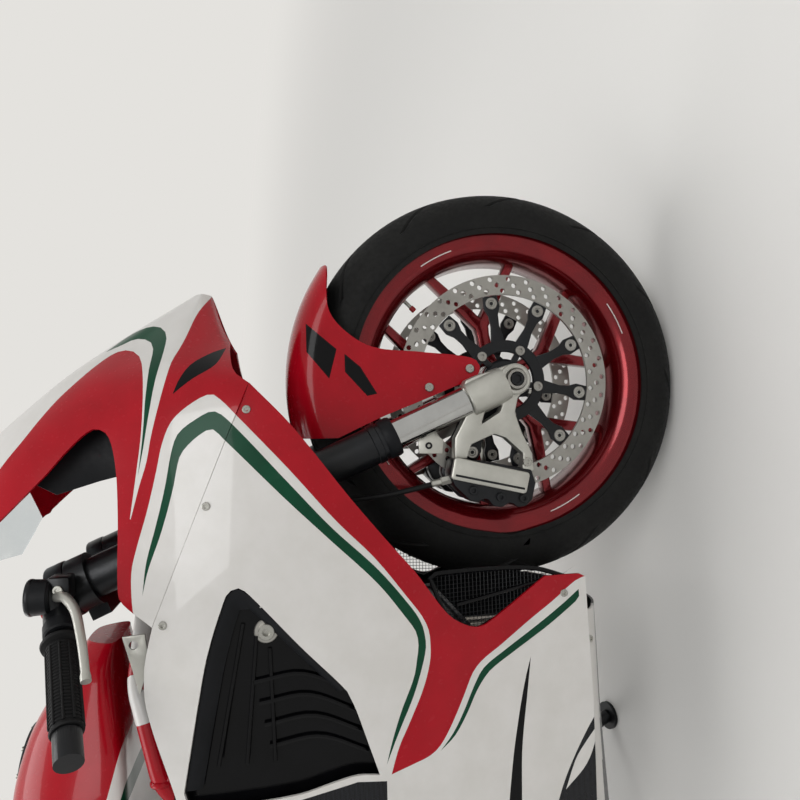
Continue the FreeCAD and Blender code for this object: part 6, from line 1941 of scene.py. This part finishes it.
        pan.emit("chassis", ("belly_pan",), "white_panel")

    def build_radiator(self) -> None:
        """Radiator core between its tanks, with cap and hose stubs."""
        radiator = Sculpt("radiator_core")
        matrix = Matrix.Translation((-375, 0, 372)) @ Matrix.Rotation(math.radians(-6), 4, "Y")
        radiator.box(Palette.FINS, (8, -118, 10), (32, 118, 200), 1.0, matrix)
        for side in (RIGHT, LEFT):
            low, high = span(side, 116, 134.6)
            radiator.box(Palette.POWDER, (2, low, 2), (37, high, 208), 6.0, matrix)
            low, high = span(side, 108, 128)
            radiator.box(Palette.POWDER, (-386, low, 572), (-362, high, 606), 4.0)
        for z in (2, 202):
            radiator.box(Palette.POWDER, (4, -132, z), (36, 132, z + 7), 2.0, matrix)
        cap = matrix @ Vector((19, -96, 207))
        radiator.lathe(Palette.ZINC, [(0, 0), (17, 0), (18, 2), (18, 8), (16, 10), (0, 10)], cap,
                       Vector((0, 0, 1)), 8)
        radiator.emit("chassis", ("radiator",), "black_metal")

    def build(self) -> None:
        """Builds the chassis pieces."""
        self.build_bands()
        self.build_engine()
        self.build_tank()
        self.build_seats()
        self.build_tail()
        self.build_belly()
        self.build_radiator()


# Chain drive: teeth of the rear sprocket, radii along one tooth, the chain's pitch, the radii
# that the chain runs on around both sprockets, and its distance from the bike's middle.
REAR_TEETH = 41
TOOTH = (86.4, 84.6, 80.6, 84.6)
CHAIN_PITCH = 15.875
PITCH_RADII = (42.5, 92.5)
CHAIN_LINE = 159


@dataclass
class RearEnd:
    """Swingarm, drive, rear brake, shock, foot rests and plate."""

    def build_arm(self) -> None:
        """Single-sided swingarm in cast aluminium."""
        arm = Sculpt("swingarm_casting")
        side = smoothed([(-822, 448, None), (-1000, 420), (-1250, 408), (-1400, 372), (-1434, 315),
                         (-1400, 264), (-1280, 252), (-1000, 318), (-822, 352, None)], 16, True)
        window = smoothed([(-900, 412), (-1040, 398), (-1150, 390), (-1160, 350), (-1040, 346),
                           (-900, 376)], 14, True)
        arm.plate(Palette.CAST, side, 104, 147.6, 7.0, (window,))
        arm.plate(Palette.CAST, [(p[0], p[1]) for p in window], 118, 132, 0.0)
        arm.box(Palette.CAST, (-898, -108, 374), (-772, 108, 431), 10)
        arm.box(Palette.CAST, (-898, 62, 347), (-824, 147, 438), 9)
        arm.rod(Palette.CAST, (-765, -117, 400), (-765, 117, 400), 29.6, 2.0, 40)
        shell = [(30.4, 97), (62, 97), (65.6, 101), (65.6, 143), (62, 148), (44, 148), (42, 144),
                 (30.4, 144)]
        arm.lathe(Palette.CAST, shell, REAR_AXLE, ACROSS, 56, closed=True)
        arm.bolt_ring(REAR_AXLE + ACROSS * 147, ACROSS, 54, 6, 4.6, 3.2)
        arm.emit("chassis", ("swingarm",), "cast_silver")

    def build_drive(self) -> None:
        """Hub shaft, sprockets with teeth, and the chain's links."""
        drive = Sculpt("rear_hub_and_sprocket")
        drive.ring(Palette.STEEL, REAR_AXLE + ACROSS * 120, 29.8, 15.2, 58, 1.6, 48)
        drive.lathe(Palette.ZINC, [(15.4, 174), (34, 174), (34, 182), (30, 186), (15.4, 186)],
                    REAR_AXLE, ACROSS, 6, closed=True)
        x, z = REAR_AXLE.x, REAR_AXLE.z
        teeth = []
        for index in range(REAR_TEETH * len(TOOTH)):
            angle = math.tau * index / (REAR_TEETH * len(TOOTH))
            radius = TOOTH[index % len(TOOTH)]
            teeth.append((x + radius * math.cos(angle), z + radius * math.sin(angle)))
        holes = [round_outline(*spot, 12, 14) for spot in round_outline(x, z, 58, 6)]
        bore = round_outline(x, z, 30.4, 32)
        drive.plate(Palette.STEEL, teeth, 156.2, 161.8, 0.0, (*holes, bore))
        drive.emit("rear_wheel", ("rear_shaft", "rear_sprocket"), "steel")
        disc = Sculpt("rear_drilled_disc")
        drilled_disc(disc, REAR_AXLE + ACROSS * 78.5, 110, 72, 2.5, 20)
        disc.ring(Palette.ANODISED, REAR_AXLE + ACROSS * 78.5, 71.6, 30.6, 2.4, 0.6)
        disc.bolt_ring(REAR_AXLE + ACROSS * 80.6, ACROSS, 62, 6, 5, 2.6)
        disc.emit("rear_wheel", ("rear_disc",), "steel")
        chain = Sculpt("chain_links")
        front = Vector((-728, CHAIN_LINE, 385))
        rear = Vector((REAR_AXLE.x, CHAIN_LINE, REAR_AXLE.z))
        small, large = PITCH_RADII
        span = front - rear
        tilt = math.atan2(span.z, span.x)
        spread = math.acos((large - small) / span.length)
        steps = []
        for index in range(9):
            angle = tilt + spread - 2 * spread * index / 8
            steps.append(front + Vector((math.cos(angle) * small, 0, math.sin(angle) * small)))
        for index in range(17):
            angle = tilt - spread - (math.tau - 2 * spread) * index / 16
            steps.append(rear + Vector((math.cos(angle) * large, 0, math.sin(angle) * large)))
        steps.append(steps[0])
        lengths = [0.0]
        for before, after in zip(steps, steps[1:]):
            lengths.append(lengths[-1] + (after - before).length)
        count = round(lengths[-1] / CHAIN_PITCH / 2) * 2
        for index in range(count):
            middle = lengths[-1] * (index + 0.5) / count
            slot_at = bisect_right(lengths, middle) - 1
            before, after = steps[slot_at], steps[slot_at + 1]
            share = (middle - lengths[slot_at]) / (lengths[slot_at + 1] - lengths[slot_at])
            spot = before.lerp(after, share)
            along = (after - before).normalized()
            angle = math.atan2(along.z, along.x)
            matrix = Matrix.Translation(spot) @ Matrix.Rotation(-angle, 4, "Y")
            wide = 6.4 if index % 2 else 4.4
            link = [(-12, -3.4), (-8, -5.6), (0, -4.2), (8, -5.6), (12, -3.4), (12, 3.4), (8, 5.6),
                    (0, 4.2), (-8, 5.6), (-12, 3.4)]
            for sign in (-1, 1):
                low, high = sorted((sign * wide, sign * (wide - 1.6)))
                chain.plate(Palette.STEEL, link, low, high, 0.0, matrix=matrix)
        chain.emit("chassis", ("chain",), "steel")

    def build_brake(self) -> None:
        """Rear caliper and the shock's spring."""
        caliper = Sculpt("rear_brake_caliper")
        caliper.box(Palette.ANODISED, (-1310, 62, 346), (-1264, 72, 410), 3.0)
        caliper.box(Palette.ANODISED, (-1310, 87, 346), (-1264, 101.6, 410), 3.0)
        caliper.box(Palette.ANODISED, (-1274, 66, 396), (-1262, 98, 411), 2.0)
        for x, z in ((-1300, 360), (-1275, 400)):
            caliper.bolt(Vector((x, 62, z)), -ACROSS, 4.2, 3.0)
        caliper.emit("chassis", ("rear_caliper",), "black_metal")
        shock = Sculpt("shock_spring")
        low, high = Vector((-842, 0, 432)), Vector((-752, 0, 634))
        way = (high - low).normalized()
        across = way.orthogonal().normalized()
        other = way.cross(across)
        length = (high - low).length
        coil = []
        for index in range(150):
            share = index / 149
            turn = share * math.tau * 6.5
            around = (across * math.cos(turn) + other * math.sin(turn)) * 25
            coil.append(low + way * (52 + share * (length - 104)) + around)
        shock.tube(Palette.SIGNAL, coil, 4.6, 10)
        for height in (46, length - 50):
            shock.lathe(Palette.ANODISED, [(0, height), (29, height), (30, height + 2),
                                           (30, height + 6), (26, height + 9), (0, height + 9)],
                        low, way, 36)
        shock.rod(Palette.ANODISED, low + way * 10, high - way * 12, 12, 1.0)
        shock.rod(Palette.CHROME, low + way * 40, high - way * 40, 15, 1.0)
        shock.emit("chassis", ("shock",), "steel")

    def build_rests(self) -> None:
        """Foot rests: plates with windows, heel guards, knurled pegs and pedals."""
        rests = Sculpt("rearset_plates")
        plate = [(-745, 585), (-775, 592), (-835, 560), (-905, 440), (-888, 405), (-800, 470)]
        window = [(-782, 566), (-832, 536), (-862, 478), (-806, 500)]
        for side in (RIGHT, LEFT):
            low, high = span(side, 171, 179)
            rests.plate(Palette.ANODISED, plate, low, high, 1.6, (window,))
            for x, z in ((-762, 572), (-784, 505)):
                rests.rod(Palette.ANODISED, (x, side * 142.6, z), (x, side * 172, z), 9, 0.8)
                rests.bolt(Vector((x, side * 179, z)), ACROSS * side, 6, 4)
            peg = Vector((-884, 0, 424))
            profile = [(0, 176), (12, 176), (12, 184)]
            reach = 186.0
            while reach < 248:
                profile += [(10.6, reach), (10.6, reach + 3), (9.6, reach + 3.6), (9.6, reach + 5)]
                reach += 5.6
            profile += [(11.6, 252), (11.6, 255), (0, 256)]
            rests.lathe(Palette.ANODISED, profile, peg, ACROSS * side, 24)
            heel = [(-870, 500), (-905, 470), (-935, 492), (-925, 530), (-890, 540)]
            low, high = span(side, 168, 171)
            rests.plate(Palette.CARBON, smoothed(heel, 8, True), low, high, 0.6)
            pedal = [Vector((-884, side * 188, 424)), Vector((-840, side * 192, 410)),
                     Vector((-770, side * 194, 398)), Vector((-728, side * 196, 402))]
            rests.tube(Palette.CAST, smoothed([tuple(p) for p in pedal], 8), 5.2, 12)
            rests.rod(Palette.CAST, (-728, side * 188, 402), (-728, side * 214, 402), 6.4, 1.2, 16)
        rests.emit("chassis", ("rearsets",), "black_metal")

    def build_plate(self) -> None:
        """Number plate carrier with a blank plate, lamp and reflector."""
        holder = Sculpt("plate_carrier")
        arm = smoothed([(-1600, 885, None), (-1640, 885, None), (-1652, 866), (-1745, 730, None),
                        (-1745, 706, None), (-1628, 856), (-1600, 866, None)], 10, True)
        holder.plate(Palette.NYLON, arm, -14, 14, 3.0)
        holder.box(Palette.NYLON, (-1746.8, -88, 642), (-1744.8, 88, 768), 0.6)
        holder.box(Palette.PLATE, (-1750, -90, 640), (-1747, 90, 770), 0.8)
        holder.box(Palette.NYLON, (-1755, -30, 771), (-1744, 30, 781), 2.0)
        for side in (RIGHT, LEFT):
            holder.bolt(Vector((-1750, side * 60, 752)), Vector((-1, 0, 0)), 4.2, 1.8)
            holder.rod(Palette.NYLON, (-1700, side * 12, 800), (-1712, side * 52, 800), 5.0, 1.0,
                       12)
            low, high = span(side, 50, 66)
            holder.box(Palette.NYLON, (-1738, low, 790), (-1696, high, 810), 4.0)
            holder.box(Palette.RED_LENS, (-1740, low + 2, 793), (-1737, high - 2, 807), 1.0)
        holder.emit("chassis", ("plate_holder",), "black_plastic")

    def build(self) -> None:
        """Builds the rear end."""
        self.build_arm()
        self.build_drive()
        self.build_brake()
        self.build_rests()
        self.build_plate()


# CAD nodes that show as they are, with the finish of their real material.
KEPT = {
    "fork_outer_tubes": Palette.ANODISED,
    "fork_stanchions": Palette.CHROME,
    "fork_yokes": Palette.ANODISED,
    "front_axle": Palette.STEEL,
    "handlebars": Palette.ANODISED,
    "frame_trellis": Palette.RED,
    "pivot_plates": Palette.POWDER,
    "front_sprocket": Palette.STEEL,
    "exhaust": Palette.EXHAUST,
    "subframe": Palette.ANODISED,
    "fairing_stay": Palette.NYLON,
    "side_stand": Palette.ANODISED,
}


def dress_kept() -> None:
    """Gives the frame's own shown nodes their finishes."""
    for name, finish in KEPT.items():
        node = frame["nodes"][name]
        node.data.materials.clear()
        node.data.materials.append(Palette.material(finish))


# Camera: film width in millimetres, and the focal length and side of the photograph in pixels.
FILM = 36.0
FOCAL = 728.6
PHOTO_SIDE = 800


@dataclass
class Studio:
    """Pale floor and backdrop, soft lamps and the camera of the photograph."""

    paper: str = "e6e4e0"

    def backdrop_material(self):
        """Pale paper: lit and shadowed near the bike, and its own colour to the eye further off."""
        material = bpy.data.materials.new("pale_studio_paper")
        material.use_nodes = True
        tree = material.node_tree
        shader = tree.nodes["Principled BSDF"]
        place = add(tree, "TexCoord").outputs["Object"]
        fibre = add(tree, "TexNoise", {"Vector": place, "Scale": 60.0, "Detail": 4.0})
        bump = add(tree, "Bump", {"Height": fibre.outputs[0], "Strength": 0.1, "Distance": 0.0004})
        shader.inputs["Base Color"].default_value = srgb(self.paper)
        shader.inputs["Roughness"].default_value = 0.6
        tree.links.new(bump.outputs[0], shader.inputs["Normal"])
        reach = add(tree, "VectorMath", {0: place}, operation="LENGTH")
        far = add(tree, "MapRange", {"Value": reach.outputs["Value"], "From Min": 1.5,
                                     "From Max": 4.0},
                  interpolation_type="SMOOTHSTEP")
        shown = self.shown(tree)
        share = add(tree, "Math", {0: far.outputs[0], 1: shown.outputs[0]}, operation="MULTIPLY")
        glow = add(tree, "Emission", {"Color": srgb("e4e2de"), "Strength": 1.0})
        mix = add(tree, "MixShader", {0: share.outputs[0], 1: shader.outputs[0],
                                      2: glow.outputs[0]})
        tree.links.new(mix.outputs[0], tree.nodes["Material Output"].inputs["Surface"])
        return material

    def shown(self, tree):
        """A node that is 1 for rays from the eye, a mirror or a clear part."""
        path = add(tree, "LightPath")
        seen = add(tree, "Math", {0: path.outputs["Is Camera Ray"],
                                  1: path.outputs["Is Glossy Ray"]},
                   operation="MAXIMUM")
        return add(tree, "Math", {0: seen.outputs[0], 1: path.outputs["Is Transmission Ray"]},
                   operation="MAXIMUM")

    def world(self) -> None:
        """Even light that shows as white where nothing stands."""
        world = bpy.data.worlds.new("studio_air")
        bpy.context.scene.world = world
        world.use_nodes = True
        tree = world.node_tree
        shown = self.shown(tree)
        lit = tree.nodes["Background"]
        lit.inputs["Color"].default_value = srgb("eef0f2")
        lit.inputs["Strength"].default_value = 0.42
        pale = add(tree, "Background", {"Color": srgb("f1f0ed"), "Strength": 0.92})
        mix = add(tree, "MixShader", {0: shown.outputs[0], 1: lit.outputs[0], 2: pale.outputs[0]})
        tree.links.new(mix.outputs[0], tree.nodes["World Output"].inputs["Surface"])

    def floor(self) -> None:
        """A floor that curves up into a far wall."""
        part = bmesh.new()
        bmesh.ops.create_grid(part, x_segments=2, y_segments=60, size=0.5)
        for vert in part.verts:
            across, along = vert.co.x * 26, (vert.co.y + 0.5)
            reach = -9 + along * 30
            bend = 3.0
            start = 7.0
            if reach < start:
                vert.co = (across, reach, 0)
            elif reach < start + bend * math.pi / 2:
                angle = (reach - start) / bend
                vert.co = (across, start + math.sin(angle) * bend, bend - math.cos(angle) * bend)
            else:
                vert.co = (across, start + bend, bend + reach - start - bend * math.pi / 2)
        data = bpy.data.meshes.new("studio_floor")
        part.to_mesh(data)
        part.free()
        data.shade_smooth()
        data.materials.append(self.backdrop_material())
        floor = bpy.data.objects.new("studio_floor", data)
        bpy.context.scene.collection.objects.link(floor)

    def lamp(self, name: str, spot: tuple, target: tuple, wide: tuple, power: float) -> None:
        """A soft rectangular lamp that faces a point."""
        light = bpy.data.lights.new(name, "AREA")
        light.shape = "RECTANGLE"
        light.size, light.size_y = wide
        light.energy = power
        lamp = bpy.data.objects.new(name, light)
        lamp.location = spot
        lamp.rotation_euler = (Vector(target) - Vector(spot)).to_track_quat("-Z", "Y").to_euler()
        bpy.context.scene.collection.objects.link(lamp)

    def camera(self) -> None:
        """The photograph's camera, rolled a quarter turn as the photograph is."""
        right = Vector((0.999, -0.032, -0.020))
        down = Vector((-0.025, -0.163, -0.986))
        ahead = right.cross(down).normalized()
        turn = TO_ROW.to_3x3() * 1000
        x_axis = (turn @ down).normalized()
        z_axis = -(turn @ ahead).normalized()
        y_axis = z_axis.cross(x_axis).normalized()
        x_axis = y_axis.cross(z_axis)
        data = bpy.data.cameras.new("photo_camera")
        data.sensor_width = FILM
        data.lens = FILM * FOCAL / PHOTO_SIDE
        data.dof.use_dof = False
        data.clip_start = 0.02
        camera = bpy.data.objects.new("photo_camera", data)
        matrix = Matrix((x_axis, y_axis, z_axis)).transposed().to_4x4()
        camera.matrix_world = Matrix.Translation(TO_ROW @ EYE) @ matrix
        bpy.context.scene.collection.objects.link(camera)
        bpy.context.scene.camera = camera

    def build(self) -> None:
        """Builds the studio."""
        bpy.context.scene.view_settings.view_transform = "Standard"
        self.world()
        self.floor()
        self.lamp("key_softbox", (1.2, -2.6, 3.0), (0.3, 0, 0.5), (2.6, 1.6), 60)
        self.lamp("top_softbox", (-0.2, 0.4, 3.4), (0.1, 0, 0.4), (3.4, 1.4), 52)
        self.lamp("rim_softbox", (-2.8, 2.2, 2.2), (-0.4, 0, 0.6), (1.6, 2.0), 36)
        self.camera()


def main() -> None:
    """Builds the studio and every piece, in order."""
    logging.basicConfig(level=logging.INFO, format="%(message)s")
    Studio().build()
    dress_kept()
    Bodywork().build()
    Wheel("front", FRONT_AXLE, 52, 30, (34, 60), 60, 299.9, 92, 26, 14.3).build()
    Wheel("rear", REAR_AXLE, 76, 52, (58, 62), 90, 314.9, 96, 34, 15.0, 20).build()
    FrontEnd().build()
    Cockpit().build()
    Chassis().build()
    RearEnd().build()


if __name__ == "__main__":
    main()
